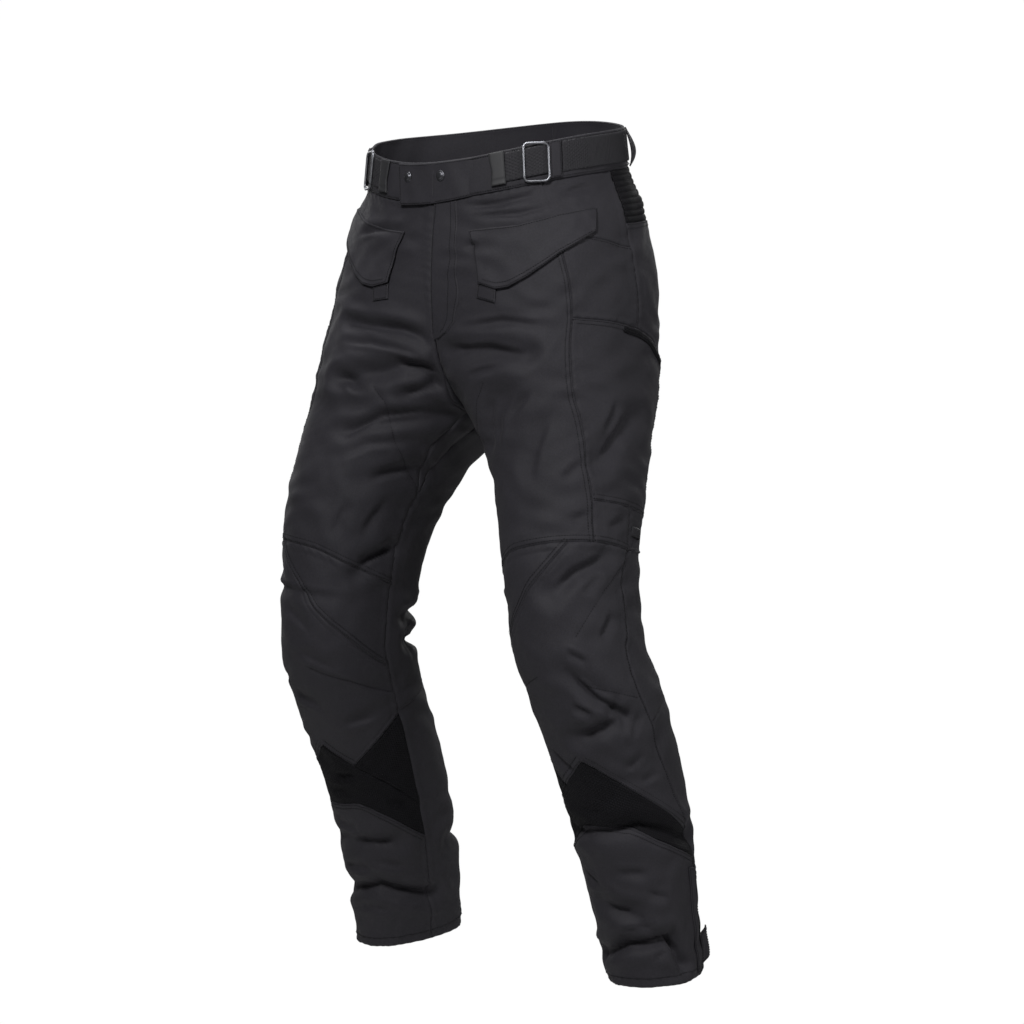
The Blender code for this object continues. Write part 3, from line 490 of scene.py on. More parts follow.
def fold_height(leg, turn, drop):
    """Sum of the troughs: -depth * (1.3 e^(-q^2) - 0.4 e^(-((q - 1.8) / 0.9)^2)) with q the distance over
    the half width, wider on one side of the line than the other, and faded at its ends, under the
    waistband and at the centre plane."""
    height = np.zeros(np.shape(turn))
    for side_of, width, depth, taper, *places in FOLD_LINES:
        if side_of != leg:
            continue
        distance, side, share = nearest_on(list(zip(places[::2], places[1::2])), turn, drop)
        lean, depth = (0.4, 1.5 * depth ** 0.8) if taper > 0.1 else (0.0, depth)
        q = distance / (width * MM * (1 + lean * side))
        ends = smooth_step(share / taper) * smooth_step((1 - share) / taper) if taper > 0.1 else 1.0
        height -= depth * MM * ends * (1.3 * np.exp(-q**2) - 0.4 * np.exp(-((q - 1.8) / 0.9) ** 2))
    return height * centre_fade(turn, drop) * smooth_step((drop - BAND_DROP) / 0.012)


def unevenness(leg, turn, drop):
    """Slack of the cloth, up to about 1.5 mm: four waves that close round the leg, whose phase is bent by
    two slower ones."""
    a, b = np.radians(turn), drop * 100 + (3.1 if leg < 0 else 0.0)
    bend = 1.7 * np.sin(2 * a + 0.42 * b) + 1.3 * np.sin(0.27 * b - 3 * a + 1.1)
    wave = (0.60 * np.sin(5 * a + 0.9 * b + bend) + 0.36 * np.sin(1.45 * b - 7 * a + 1.4 * bend)
            + 0.13 * np.sin(13 * a + 1.1 * b - 1.6 * bend) + 0.05 * np.sin(19 * a - 2.9 * b + 2 * bend))
    return 1.3 * MM * wave * centre_fade(turn, drop) * smooth_step((drop - BAND_DROP) / 0.02)


def dart_height(turn, drop):
    """A trough 1.1 mm deep and 2.4 mm wide along each dart."""
    height = np.zeros(np.shape(turn))
    for line in DARTS:
        distance, _, _ = nearest_on(line, turn, drop)
        height -= 1.1 * MM * np.exp(-(distance / (2.4 * MM)) ** 2)
    return height


def seam_height(distance, turn, drop, stretch=False):
    """Near a seam: a groove 0.9 mm deep, a low swelling beside it, a dip under the outer stitch row and
    soft puckers about 13 mm apart that fade within 9 mm."""
    along = turn * PER_DEGREE * 0.9 + drop
    pucker = np.sin(along * 2 * np.pi / 0.013 + 2.2 * np.sin(along * 61)) * np.exp(-(distance / 0.009) ** 2)
    groove = -0.9 * np.exp(-(distance / 0.0011) ** 2) + 0.40 * np.exp(-((distance - 0.0045) / 0.0022) ** 2)
    dip = -0.40 * np.exp(-((distance - 0.0085) / 0.0020) ** 2)
    return MM * (groove + (0.15 if stretch else 0.38) * pucker + dip)


def shown_seam(turn, drop):
    """How much of its profile a seam keeps: none on the front seam above the pocket flap, a third at the
    back of the knee, all of it elsewhere."""
    above = (drop > BAND_DROP + 0.004) * smooth_step((0.124 - drop) / 0.01)
    flap = np.exp(-((turn + 79) / 7.0) ** 4) * above
    back = np.exp(-((drop - 0.728) / 0.02) ** 4) * (turn > -14)
    return (1 - flap) * (1 - 0.65 * back)


def skin(leg, turn, drop, lift=0.0, rough=1.0):
    """Cloth point: the smooth form pushed out by the folds, the slack and the lift, on its own side of
    the centre plane. rough scales the slack."""
    turn, drop = np.broadcast_arrays(np.asarray(turn, float), np.asarray(drop, float))
    height = fold_height(leg, turn, drop) + rough * unevenness(leg, turn, drop) + lift
    point = body_surface(leg, turn, drop) + surface_normal(leg, turn, drop) * height[..., None]
    own_side = np.where(drop < CROTCH_DROP + 0.03, 0.0, -1.0)
    point[..., 0] = leg * np.maximum(leg * point[..., 0], own_side)
    return point


def seam_line(name, first, last):
    """A seam between two of its own places, finely resampled; backwards if last comes before first."""
    flat = np.array(SEAMS[name], float) * FLAT
    length = run_length(flat)
    count = max(2, int(abs(length[last] - length[first]) / 0.002))
    marks = np.linspace(length[first], length[last], count)
    if name in STRAIGHT or len(flat) < 3:
        line = np.stack([np.interp(marks, length, flat[:, i]) for i in (0, 1)], -1)
    else:
        line = np.stack([smooth_curve(length, flat[:, i], marks) for i in (0, 1)], -1)
    return line / FLAT


def run_line(runs):
    """Runs of seams and of plain places joined into one line."""
    lines = [seam_line(*run) if isinstance(run[0], str) else np.array(run, float) for run in runs]
    joined = [lines[0]] + [line[1:] for line in lines[1:]]
    return np.concatenate(joined)


def flat_length(line):
    """Length along a line of places at each of them, in the flat layout."""
    return run_length(line * FLAT)


def at_shares(line, shares):
    """Places of a line at these shares of its length."""
    length = flat_length(line)
    if length[-1] < 1e-9:
        return np.repeat(line[:1], len(shares), 0)
    return np.stack([np.interp(shares * length[-1], length, line[:, i]) for i in (0, 1)], -1)


def graded(length, cell=CELL):
    """Shares from 0 to 1 along a length: close together near both ends, then about a cell apart."""
    ends = np.array(EDGE_CELLS) / max(length, 1e-6)
    if length < 2.4 * EDGE_CELLS[-1]:
        return np.linspace(0, 1, max(5, int(length / 0.0016)))
    count = max(2, int((length - 2 * EDGE_CELLS[-1]) / cell))
    middle = np.linspace(ends[-1], 1 - ends[-1], count + 1)
    return np.concatenate([ends[:-1], middle, 1 - ends[:-1][::-1]])


def patch(edges, cell=CELL):
    """Grid of places between four edges, and their shares across and down. Each place is the left-right
    blend plus the top-bottom blend less the blend of the four corners."""
    top, bottom, left, right = (run_line(edges[name]) for name in ("top", "bottom", "left", "right"))
    wide = max(flat_length(top)[-1], flat_length(bottom)[-1])
    tall = max(flat_length(left)[-1], flat_length(right)[-1])
    u, v = graded(wide, cell), graded(tall, cell)
    t, b, l, r = at_shares(top, u), at_shares(bottom, u), at_shares(left, v), at_shares(right, v)
    u, v = u[None, :, None], v[:, None, None]
    corners = (1 - v) * ((1 - u) * t[0] + u * t[-1]) + v * ((1 - u) * b[0] + u * b[-1])
    places = (1 - v) * t[None] + v * b[None] + (1 - u) * l[:, None] + u * r[:, None] - corners
    shape = places.shape[:2]
    return places, np.broadcast_to(u[..., 0], shape), np.broadcast_to(v[..., 0], shape)


def edge_distance(grid, free="tblr"):
    """Distance from each place of a grid to the nearest of its free edges (top, bottom, left, right), in
    the flat layout."""
    flat = grid * FLAT
    sides = []
    for axis, names in ((0, "tb"), (1, "lr")):
        step = np.linalg.norm(np.diff(flat, axis=axis), axis=-1)
        pad = [(0, 0), (0, 0)]
        pad[axis] = (1, 0)
        run = np.cumsum(np.pad(step, pad), axis=axis)
        whole = run[-1:, :] if axis == 0 else run[:, -1:]
        sides += [far for name, far in zip(names, (run, whole - run)) if name in free]
    return np.minimum.reduce(sides)


def grid_quads(rows, columns, start, flip):
    """Quads of a grid of points that are numbered row by row from start."""
    index = np.arange(rows * columns).reshape(rows, columns) + start
    quads = np.stack([index[:-1, :-1], index[1:, :-1], index[1:, 1:], index[:-1, 1:]], -1).reshape(-1, 4)
    return quads[:, ::-1] if flip else quads


def link_piece(name, mesh, finish):
    """The mesh as a smooth piece of the trousers, with its finish."""
    mesh.materials.append(finish)
    mesh.shade_smooth()
    piece = bpy.data.objects.new(name, mesh)
    bpy.context.scene.collection.objects.link(piece)
    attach(piece, "root")
    return piece


def mesh_piece(name, grids, finish, weld=WELD, grain=0.0):
    """One mesh from grids of (points, flat places in metres, flip). Grids that meet are welded. The UV map
    holds the flat places turned by the grain's angle."""
    points, quads, flats, start = [], [], [], 0
    for grid, flat, flip in grids:
        rows, columns = grid.shape[:2]
        points.append(grid.reshape(-1, 3))
        flats.append(flat.reshape(-1, 2))
        quads.append(grid_quads(rows, columns, start, flip))
        start += rows * columns
    points, quads, flats = np.concatenate(points), np.concatenate(quads), np.concatenate(flats)
    c, s = math.cos(grain), math.sin(grain)
    flats = flats @ np.array([[c, s], [-s, c]])
    mesh = bpy.data.meshes.new(name)
    mesh.from_pydata(points.tolist(), [], quads.tolist())
    layer = mesh.uv_layers.new(name="cloth")
    layer.data.foreach_set("uv", flats[quads.reshape(-1)].astype(np.float32).reshape(-1))
    shape = bmesh.new()
    shape.from_mesh(mesh)
    bmesh.ops.remove_doubles(shape, verts=shape.verts, dist=weld)
    shape.to_mesh(mesh)
    shape.free()
    return link_piece(name, mesh, finish)


def thicken(piece, thick):
    """Gives the sheet its wall, inward from its outer side."""
    solid = piece.modifiers.new("wall", "SOLIDIFY")
    solid.thickness = thick
    solid.offset = -1.0
    return piece


def sheet_area(points):
    """Area of a grid of points, and its longest row and column."""
    one = np.cross(points[1:, :-1] - points[:-1, :-1], points[:-1, 1:] - points[:-1, :-1])
    two = np.cross(points[1:, 1:] - points[1:, :-1], points[1:, 1:] - points[:-1, 1:])
    area = (np.linalg.norm(one, axis=-1).sum() + np.linalg.norm(two, axis=-1).sum()) / 2
    wide = np.linalg.norm(np.diff(points, axis=1), axis=-1).sum(1).max()
    tall = np.linalg.norm(np.diff(points, axis=0), axis=-1).sum(0).max()
    return area, wide, tall


def declare(grids):
    """Works out the size a cloth piece was cut to from what its own grids measure, and keeps nothing."""
    sizes = [sheet_area(grid) for grid, _, _ in grids]
    area, wide, tall = sum(s[0] for s in sizes), sizes[0][1], sizes[0][2]
    wide = max(wide, area / tall, LEAST_SIDE)
    wide, tall = (math.ceil(side * 1000) / 1000 for side in (wide, max(tall, LEAST_SIDE)))


def thread_batch(starts, ends, normals, radius):
    """Stitches as short capsules: four rings of four points, smaller at both ends, sunk half way."""
    way = ends - starts
    long = np.linalg.norm(way, axis=-1, keepdims=True)
    way = way / np.maximum(long, 1e-9)
    side = np.cross(normals, way)
    shares, sizes = np.array([0.0, 0.16, 0.84, 1.0]), np.array([0.4, 1.0, 1.0, 0.4]) * radius
    angles = (np.arange(4) + 0.5) * math.pi / 2
    round_it = (np.cos(angles)[:, None] * side[:, None, :] + np.sin(angles)[:, None] * normals[:, None, :])
    rings = (starts[:, None, None] + (way * long)[:, None, None] * shares[None, :, None, None]
             + round_it[:, None] * sizes[None, :, None, None])
    arch = np.array([-0.5, 0.5, 0.5, -0.5]) * radius
    return (rings + normals[:, None, None] * arch[None, :, None, None]).reshape(-1, 3)


def thread_faces(count):
    """Faces of that many capsules of 16 points: three bands of quads and two four-sided ends."""
    ring = np.arange(4)
    band = np.stack([ring, (ring + 1) % 4, (ring + 1) % 4 + 4, ring + 4], -1)
    quads = np.concatenate([band + 4 * k for k in range(3)] + [[ring[::-1], ring + 12]])
    return (quads[None] + 16 * np.arange(count)[:, None, None]).reshape(-1, 4).tolist()


def thread_piece(name, batches, finish):
    """All the stitches of one side as one mesh."""
    points = np.concatenate(batches)
    mesh = bpy.data.meshes.new(name)
    mesh.from_pydata(points.tolist(), [], thread_faces(len(points) // 16))
    return link_piece(name, mesh, finish)


def stitch_ends(length):
    """Where each stitch starts and ends along a line of this length."""
    count = max(1, int(length / STITCH_PITCH))
    starts = (np.arange(count) + 0.15) * length / count
    return starts, starts + STITCH_LONG


def seam_stitches(leg, runs, shift, lift):
    """Stitches beside a line on the panels: shift to its right as it runs, seen with the drop downward."""
    line = run_line(runs)
    flat = line * FLAT
    way = np.gradient(flat, axis=0)
    way /= np.maximum(np.linalg.norm(way, axis=1, keepdims=True), 1e-9)
    flat = flat + np.stack([-way[:, 1], way[:, 0]], -1) * shift * MM
    length = flat_length(flat / FLAT)
    result = []
    for at in stitch_ends(length[-1]):
        turn, drop = (np.interp(at, length, flat[:, i]) for i in (0, 1))
        turn = np.clip(turn / PER_DEGREE, -179.9, 179.9)
        beside = abs(shift) * MM if shift else 0.05
        height = seam_height(np.full(turn.shape, beside), turn, drop) + dart_height(turn, drop)
        result.append(skin(leg, turn, drop, height + (lift + 0.10) * MM))
    normal = surface_normal(leg, turn, drop)
    return thread_batch(result[0], result[1], normal, THREAD_RADIUS)


def grid_stitches(points, u, v, line, flip):
    """Stitches along a line of shares (across, down) of a layer's own grid, by bilinear blending."""
    line = np.array(line, float)
    across, down = u[0], v[:, 0]
    rows, columns = np.arange(len(down)), np.arange(len(across))

    def sample(share):
        c = np.clip(np.interp(share[:, 0], across, columns), 0, len(across) - 1.001)
        r = np.clip(np.interp(share[:, 1], down, rows), 0, len(down) - 1.001)
        ci, ri = c.astype(int), r.astype(int)
        fc, fr = (c - ci)[:, None], (r - ri)[:, None]
        a, b = points[ri, ci], points[ri, ci + 1]
        d, e = points[ri + 1, ci], points[ri + 1, ci + 1]
        normal = np.cross(d - a, b - a) * (-1 if flip else 1)
        normal /= np.maximum(np.linalg.norm(normal, axis=-1, keepdims=True), 1e-12)
        return (1 - fr) * ((1 - fc) * a + fc * b) + fr * ((1 - fc) * d + fc * e), normal

    fine = np.stack([np.interp(np.linspace(0, len(line) - 1, 200), np.arange(len(line)), line[:, i])
                     for i in (0, 1)], -1)
    spots, _ = sample(fine)
    length = run_length(spots)
    ends = []
    for at in stitch_ends(length[-1]):
        share = np.stack([np.interp(at, length, fine[:, i]) for i in (0, 1)], -1)
        spot, normal = sample(share)
        ends.append(spot + normal * 0.10 * MM)
    return thread_batch(ends[0], ends[1], normal, THREAD_RADIUS)


def tube_grid(path, radius, around=14):
    """Round wire along a closed path: circles in the plane of each path point's outward and side ways."""
    ahead = np.roll(path, -1, 0) - np.roll(path, 1, 0)
    ahead /= np.linalg.norm(ahead, axis=1, keepdims=True)
    middle = path.mean(0)
    axis = np.cross(path[0] - middle, path[len(path) // 4] - middle)
    axis /= np.linalg.norm(axis)
    side = np.cross(ahead, axis)
    angle = np.linspace(0, 2 * np.pi, around + 1)
    ring = np.cos(angle)[None, :, None] * side[:, None] + np.sin(angle)[None, :, None] * axis
    grid = path[:, None] + ring * radius
    return np.concatenate([grid, grid[:1]])


def lathe_grid(at, out, profile, around=40):
    """A profile of (radius, height) turned about the outward line through a place."""
    out = out / np.linalg.norm(out)
    one = np.cross(out, [0.0, 0.0, 1.0])
    one /= np.linalg.norm(one)
    two = np.cross(out, one)
    angle = np.linspace(0, 2 * np.pi, around + 1)
    ring = np.cos(angle)[None, :, None] * one + np.sin(angle)[None, :, None] * two
    profile = np.array(profile) * MM
    return at + ring * profile[:, 0][:, None, None] + out * profile[:, 1][:, None, None]


def local_frame(leg, turn, drop):
    """Place on the smooth form, and the ways towards the back, up and outward there."""
    at, out = body_surface(leg, turn, drop), surface_normal(leg, turn, drop)
    up = body_surface(leg, turn, drop - 0.01) - body_surface(leg, turn, drop + 0.01)
    up = up - (up @ out) * out
    up = up / np.linalg.norm(up)
    return at, np.cross(up, out), up, out


def node_group(name, inputs, outputs):
    """A shader node group with these sockets, and its input and output nodes."""
    tree = bpy.data.node_groups.new(name, "ShaderNodeTree")
    for title, kind, value in inputs:
        socket = tree.interface.new_socket(title, in_out="INPUT", socket_type=kind)
        if value is not None:
            socket.default_value = value
    for title, kind in outputs:
        tree.interface.new_socket(title, in_out="OUTPUT", socket_type=kind)
    return tree, tree.nodes.new("NodeGroupInput"), tree.nodes.new("NodeGroupOutput")


def math_node(tree, operation, first, second=None):
    """A math node fed by sockets or numbers."""
    node = tree.nodes.new("ShaderNodeMath")
    node.operation = operation
    for socket, value in zip(node.inputs, (first, second)):
        if isinstance(value, bpy.types.NodeSocket):
            tree.links.new(value, socket)
        elif value is not None:
            socket.default_value = value
    return node.outputs[0]


def noise_node(tree, vector, scale, detail, rough=0.55):
    """A noise texture read at a vector socket."""
    node = tree.nodes.new("ShaderNodeTexNoise")
    node.inputs["Scale"].default_value = scale
    node.inputs["Detail"].default_value = detail
    node.inputs["Roughness"].default_value = rough
    tree.links.new(vector, node.inputs["Vector"])
    return node.outputs["Fac"]


def weave_group():
    """Plain weave: the product of two sine waves a thread apart, roughened by fine noise."""
    tree, start, end = node_group(
        "weave", [("Place", "NodeSocketVector", None), ("Threads per metre", "NodeSocketFloat", 1400.0)],
        [("Height", "NodeSocketFloat")])
    split = tree.nodes.new("ShaderNodeSeparateXYZ")
    tree.links.new(start.outputs["Place"], split.inputs[0])
    turns = math_node(tree, "MULTIPLY", start.outputs["Threads per metre"], math.pi)
    waves = [math_node(tree, "SINE", math_node(tree, "MULTIPLY", split.outputs[i], turns)) for i in (0, 1)]
    crossed = math_node(tree, "MULTIPLY", waves[0], waves[1])
    noise = noise_node(tree, start.outputs["Place"], 900, 2)
    tree.links.new(math_node(tree, "ADD", math_node(tree, "MULTIPLY", crossed, 0.5), noise),
                   end.inputs["Height"])
    return tree


def cell_group():
    """Honeycomb: the mean of three cosine waves 120 degrees apart, so many to the metre, as 0 to 1."""
    tree, start, end = node_group(
        "cells", [("Place", "NodeSocketVector", None), ("Cells per metre", "NodeSocketFloat", 300.0)],
        [("Height", "NodeSocketFloat")])
    turns = math_node(tree, "MULTIPLY", start.outputs["Cells per metre"], 2 * math.pi)
    total = None
    for way in ((1.0, 0.0, 0.0), (0.5, SLANT, 0.0), (0.5, -SLANT, 0.0)):
        along = tree.nodes.new("ShaderNodeVectorMath")
        along.operation = "DOT_PRODUCT"
        tree.links.new(start.outputs["Place"], along.inputs[0])
        along.inputs[1].default_value = way
        wave = math_node(tree, "COSINE", math_node(tree, "MULTIPLY", along.outputs["Value"], turns))
        total = wave if total is None else math_node(tree, "ADD", total, wave)
    height = math_node(tree, "ADD", math_node(tree, "MULTIPLY", total, 0.22), 0.34)
    tree.links.new(height, end.inputs["Height"])
    return tree


def tone_group():
    """Use marks: broad soft patches, small rumples and slubs, all from noise in the object's own space."""
    tree, start, end = node_group(
        "tone", [("Place", "NodeSocketVector", None)],
        [("Patches", "NodeSocketFloat"), ("Rumples", "NodeSocketFloat"), ("Slubs", "NodeSocketFloat")])
    broad = noise_node(tree, start.outputs["Place"], 9, 4, 0.6)
    small = noise_node(tree, start.outputs["Place"], 70, 3, 0.5)
    tree.links.new(broad, end.inputs["Patches"])
    tree.links.new(small, end.inputs["Rumples"])
    tree.links.new(noise_node(tree, start.outputs["Place"], 640, 2, 0.7), end.inputs["Slubs"])
    return tree


def use_group(tree, group, **inputs):
    """A group node in a material, fed by sockets or numbers."""
    node = tree.nodes.new("ShaderNodeGroup")
    node.node_tree = group
    for title, value in inputs.items():
        socket = node.inputs[title.replace("_", " ")]
        if isinstance(value, bpy.types.NodeSocket):
            tree.links.new(value, socket)
        else:
            socket.default_value = value
    return node


def bump_node(tree, height, distance, strength, below=None):
    """A bump over the one below it."""
    node = tree.nodes.new("ShaderNodeBump")
    node.inputs["Distance"].default_value = distance
    node.inputs["Strength"].default_value = strength
    tree.links.new(height, node.inputs["Height"])
    if below is not None:
        tree.links.new(below, node.inputs["Normal"])
    return node.outputs["Normal"]


def start_material(name, roughness, metallic=0.0, sheen=0.0, specular=0.5):
    """A Principled material, with its tree, its shader and the object coordinates."""
    material = bpy.data.materials.new(name)
    material.use_nodes = True
    tree = material.node_tree
    shader = tree.nodes["Principled BSDF"]
    shader.inputs["Roughness"].default_value = roughness
    shader.inputs["Metallic"].default_value = metallic
    shader.inputs["Sheen Weight"].default_value = sheen
    shader.inputs["Sheen Roughness"].default_value = 0.6
    shader.inputs["Specular IOR Level"].default_value = specular
    where = tree.nodes.new("ShaderNodeTexCoord")
    return material, tree, shader, where


def mix_colours(tree, share, dark, light):
    """A colour between two, by a share socket."""
    node = tree.nodes.new("ShaderNodeMix")
    node.data_type = "RGBA"
    tree.links.new(share, node.inputs["Factor"])
    node.inputs["A"].default_value = (*dark, 1.0)
    node.inputs["B"].default_value = (*light, 1.0)
    return node.outputs["Result"]


def cloth_material(name, dark, light, threads, cells=0.0, sheen=0.03, roughness=0.70, specular=0.34):
    """Woven cloth: patchy colour, a weave bump over soft rumples and, for stretch cloth, a honeycomb."""
    material, tree, shader, where = start_material(name, roughness, sheen=sheen, specular=specular)
    tone = use_group(tree, TONE, Place=where.outputs["Object"])
    weave = use_group(tree, WEAVE, Place=where.outputs["UV"], Threads_per_metre=threads)
    normal = bump_node(tree, tone.outputs["Rumples"], 0.0016, 0.25)
    grain = math_node(tree, "MULTIPLY", weave.outputs["Height"], 0.3)
    if cells:
        comb = use_group(tree, CELLS, Place=where.outputs["UV"], Cells_per_metre=cells)
        normal = bump_node(tree, comb.outputs["Height"], 0.0006, 1.0, normal)
        grain = math_node(tree, "MULTIPLY", comb.outputs["Height"], 0.6)
    normal = bump_node(tree, weave.outputs["Height"], 0.00018, 0.6, normal)
    slubs = math_node(tree, "MULTIPLY", math_node(tree, "SUBTRACT", tone.outputs["Slubs"], 0.5), 1.3)
    patches = math_node(tree, "ADD", math_node(tree, "MULTIPLY", tone.outputs["Patches"], 0.6), grain)
    patches = math_node(tree, "ADD", patches, slubs)
    tree.links.new(mix_colours(tree, patches, dark, light), shader.inputs["Base Color"])
    tree.links.new(normal, shader.inputs["Normal"])
    return material


def metal_material(name, colour, roughness, metallic):
    """Worn satin metal: fine noise in its roughness and a shallow bump."""
    material, tree, shader, where = start_material(name, roughness, metallic)
    tone = use_group(tree, TONE, Place=where.outputs["Object"])
    fine = noise_node(tree, where.outputs["Object"], 1800, 2)
    darker = tuple(c * 0.75 for c in colour)
    tree.links.new(mix_colours(tree, tone.outputs["Rumples"], darker, colour), shader.inputs["Base Color"])
    spread = math_node(tree, "ADD", math_node(tree, "MULTIPLY", fine, 0.16), roughness - 0.08)
    tree.links.new(spread, shader.inputs["Roughness"])
    tree.links.new(bump_node(tree, fine, 0.00006, 0.5), shader.inputs["Normal"])
    return material


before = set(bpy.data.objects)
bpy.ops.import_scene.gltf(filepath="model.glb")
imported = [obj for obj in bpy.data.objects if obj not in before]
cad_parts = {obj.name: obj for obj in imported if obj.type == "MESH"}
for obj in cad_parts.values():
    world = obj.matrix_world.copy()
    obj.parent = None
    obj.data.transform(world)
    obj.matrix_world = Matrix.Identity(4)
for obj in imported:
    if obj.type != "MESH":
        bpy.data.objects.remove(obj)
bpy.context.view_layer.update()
WEAVE, CELLS, TONE = weave_group(), cell_group(), tone_group()
CLOTH = cloth_material("shell_cloth", (0.0135, 0.0125, 0.0165), (0.030, 0.028, 0.0355), 1500)
BLACK = cloth_material("stretch_cloth", (0.0020, 0.0020, 0.0028), (0.0085, 0.0080, 0.0105), 1700, cells=320,
                       sheen=0.01, roughness=0.75, specular=0.16)
ELASTIC = cloth_material("elastic_webbing", (0.009, 0.0085, 0.011), (0.024, 0.023, 0.028), 1200)
THREAD = cloth_material("thread", (0.003, 0.003, 0.004), (0.009, 0.009, 0.011), 3000, specular=0.2)
STEEL = metal_material("satin_steel", (0.30, 0.305, 0.33), 0.36, 1.0)
GUNMETAL = metal_material("dark_gunmetal", (0.13, 0.13, 0.145), 0.38, 0.9)
GREY_CLIP = metal_material("grey_clip", (0.026, 0.026, 0.029), 0.62, 0.0)

threads = {1: [], -1: []}


def panel_grid(leg, edges, stretch=False, cell=CELL):
    """A panel's points: the skin with its seam profile and darts."""
    places, _, _ = patch(edges, cell)
    turn, drop = places[..., 0], places[..., 1]
    height = seam_height(edge_distance(places), turn, drop, stretch) * shown_seam(turn, drop)
    height = height + dart_height(turn, drop)
    return skin(leg, turn, drop, height), places * FLAT, leg < 0


def layer_grid(leg, edges, lift_of, cell, free):
    """A layer's points: the skin lifted by lift_of(u, v) mm, rolled down 0.7 mm at its free edges."""
    places, u, v = patch(edges, cell)
    turn, drop = places[..., 0], places[..., 1]
    roll = -0.7 * np.exp(-(edge_distance(places, free) / 0.0010) ** 2)
    lift = lift_of[leg] if isinstance(lift_of, dict) else lift_of
    return skin(leg, turn, drop, (lift(u, v) + roll) * MM), places * FLAT, leg < 0, u, v


def box_edges(turn1, turn2, drop1, drop2):
    """Edges of a plain rectangle of places."""
    return dict(top=[[(turn1, drop1), (turn2, drop1)]], bottom=[[(turn1, drop2), (turn2, drop2)]],
                left=[[(turn1, drop1), (turn1, drop2)]], right=[[(turn2, drop1), (turn2, drop2)]])


FLAP_EDGES = {
    1: dict(top=[[(-157, 0.101), (-114, 0.103), (-74, 0.098), (-30, 0.096)]],
            right=[[(-30, 0.096), (-38, 0.126)]],
            bottom=[[(-149, 0.179), (-134, 0.190), (-124, 0.188), (-79, 0.149), (-38, 0.126)]],
            left=[[(-157, 0.101), (-149, 0.179)]]),
    -1: dict(top=[[(-162, 0.097), (-114, 0.092), (-74, 0.086), (-34, 0.087)]],
             right=[[(-34, 0.087), (-42, 0.118)]],
             bottom=[[(-153, 0.173), (-139, 0.180), (-128, 0.177), (-84, 0.140), (-42, 0.118)]],
             left=[[(-162, 0.097), (-153, 0.173)]])}
PULL_EDGES = {
    1: dict(top=[[(-149, 0.179), (-134, 0.190)]], right=[[(-134, 0.190), (-132, 0.210)]],
            bottom=[[(-148, 0.200), (-132, 0.210)]], left=[[(-149, 0.179), (-148, 0.200)]]),
    -1: dict(top=[[(-153, 0.173), (-139, 0.180)]], right=[[(-139, 0.180), (-138, 0.200)]],
             bottom=[[(-151, 0.196), (-138, 0.200)]], left=[[(-153, 0.173), (-151, 0.196)]])}
FLY_EDGES = dict(
    top=[[(-180, 0.052), (-163, 0.052)]], bottom=[[(-180, 0.254), (-180, 0.254)]],
    left=[[(-180, 0.052), (-180, 0.254)]],
    right=[[(-163, 0.052), (-167, 0.122), (-165, 0.168), (-158, 0.208), (-155.5, 0.232), (-160, 0.246),
            (-170, 0.252), (-180, 0.254)]])
BINDING_EDGES = dict(
    top=[[(-8, 0.254), (5, 0.260), (47, 0.291)]], bottom=[[(-8, 0.263), (5, 0.270), (46, 0.300)]],
    left=[[(-8, 0.254), (-8, 0.263)]], right=[[(47, 0.291), (46, 0.300)]])
HEM_TAB_EDGES = dict(
    top=[[(12, 1.036), (33, 1.030)]], bottom=[[(12, 1.080), (35, 1.074)]],
    left=[[(12, 1.036), (12, 1.080)]], right=[[(33, 1.030), (35, 1.074)]])
ZIP_EDGES = dict(
    top=[[(-3, 0.934), (8, 0.940)]], bottom=[[(-3, 1.086), (8, 1.086)]],
    left=[[(-3, 0.934), (-3, 1.086)]], right=[[(8, 0.940), (8, 1.086)]])
CLIP_EDGES = dict(
    top=[[(-132.5, 0.001), (-118, 0.001)]], bottom=[[(-131, 0.045), (-117, 0.045)]],
    left=[[(-132.5, 0.001), (-132, 0.010), (-130, 0.027), (-131, 0.045)]],
    right=[[(-118, 0.001), (-117.5, 0.024), (-117, 0.045)]])
TAB_EDGES = {
    -1: dict(top=[[(-180, 0.0015), (-145, 0.0025)]], bottom=[[(-180, 0.057), (-151, 0.059)]],
             left=[[(-180, 0.0015), (-180, 0.057)]], right=[[(-145, 0.0025), (-151, 0.059)]]),
    1: dict(top=[[(-180, 0.0015), (-142, 0.0010)]], bottom=[[(-180, 0.057), (-166, 0.055), (-142, 0.0510)]],
            left=[[(-180, 0.0015), (-180, 0.057)]], right=[[(-142, 0.0010), (-142, 0.0510)]])}
TAB_LIFTS = {
    -1: lambda u, v: 4.3 + 0.4 * np.sin(9 * u + 5 * v) * np.sin(np.pi * u) + 0.9 * v * u,
    1: lambda u, v: (4.3 - 3.9 * smooth_step((u - 0.3) / 0.7)
                     + 0.4 * np.sin(11 * u - 6 * v) * np.sin(np.pi * u))}
# Stitch lines on a layer, as shares across and down.
RECTANGLE = [(0.0, 0.0), (1.0, 0.0), (1.0, 1.0), (0.0, 1.0), (0.0, 0.0)]
LOWER_EDGE = [(0, 1), (1, 1)]
MIDDLE = [(0, 0.5), (1, 0.5)]
TAB_STITCHES = [(0, 0), (1, 0), (1, 1), (0, 1)]
FLY_STITCHES = ([(0.93, 0.02), (0.93, 0.97)], [(0.70, 0.02), (0.70, 0.90)], [(0.06, 0.02), (0.06, 0.95)])
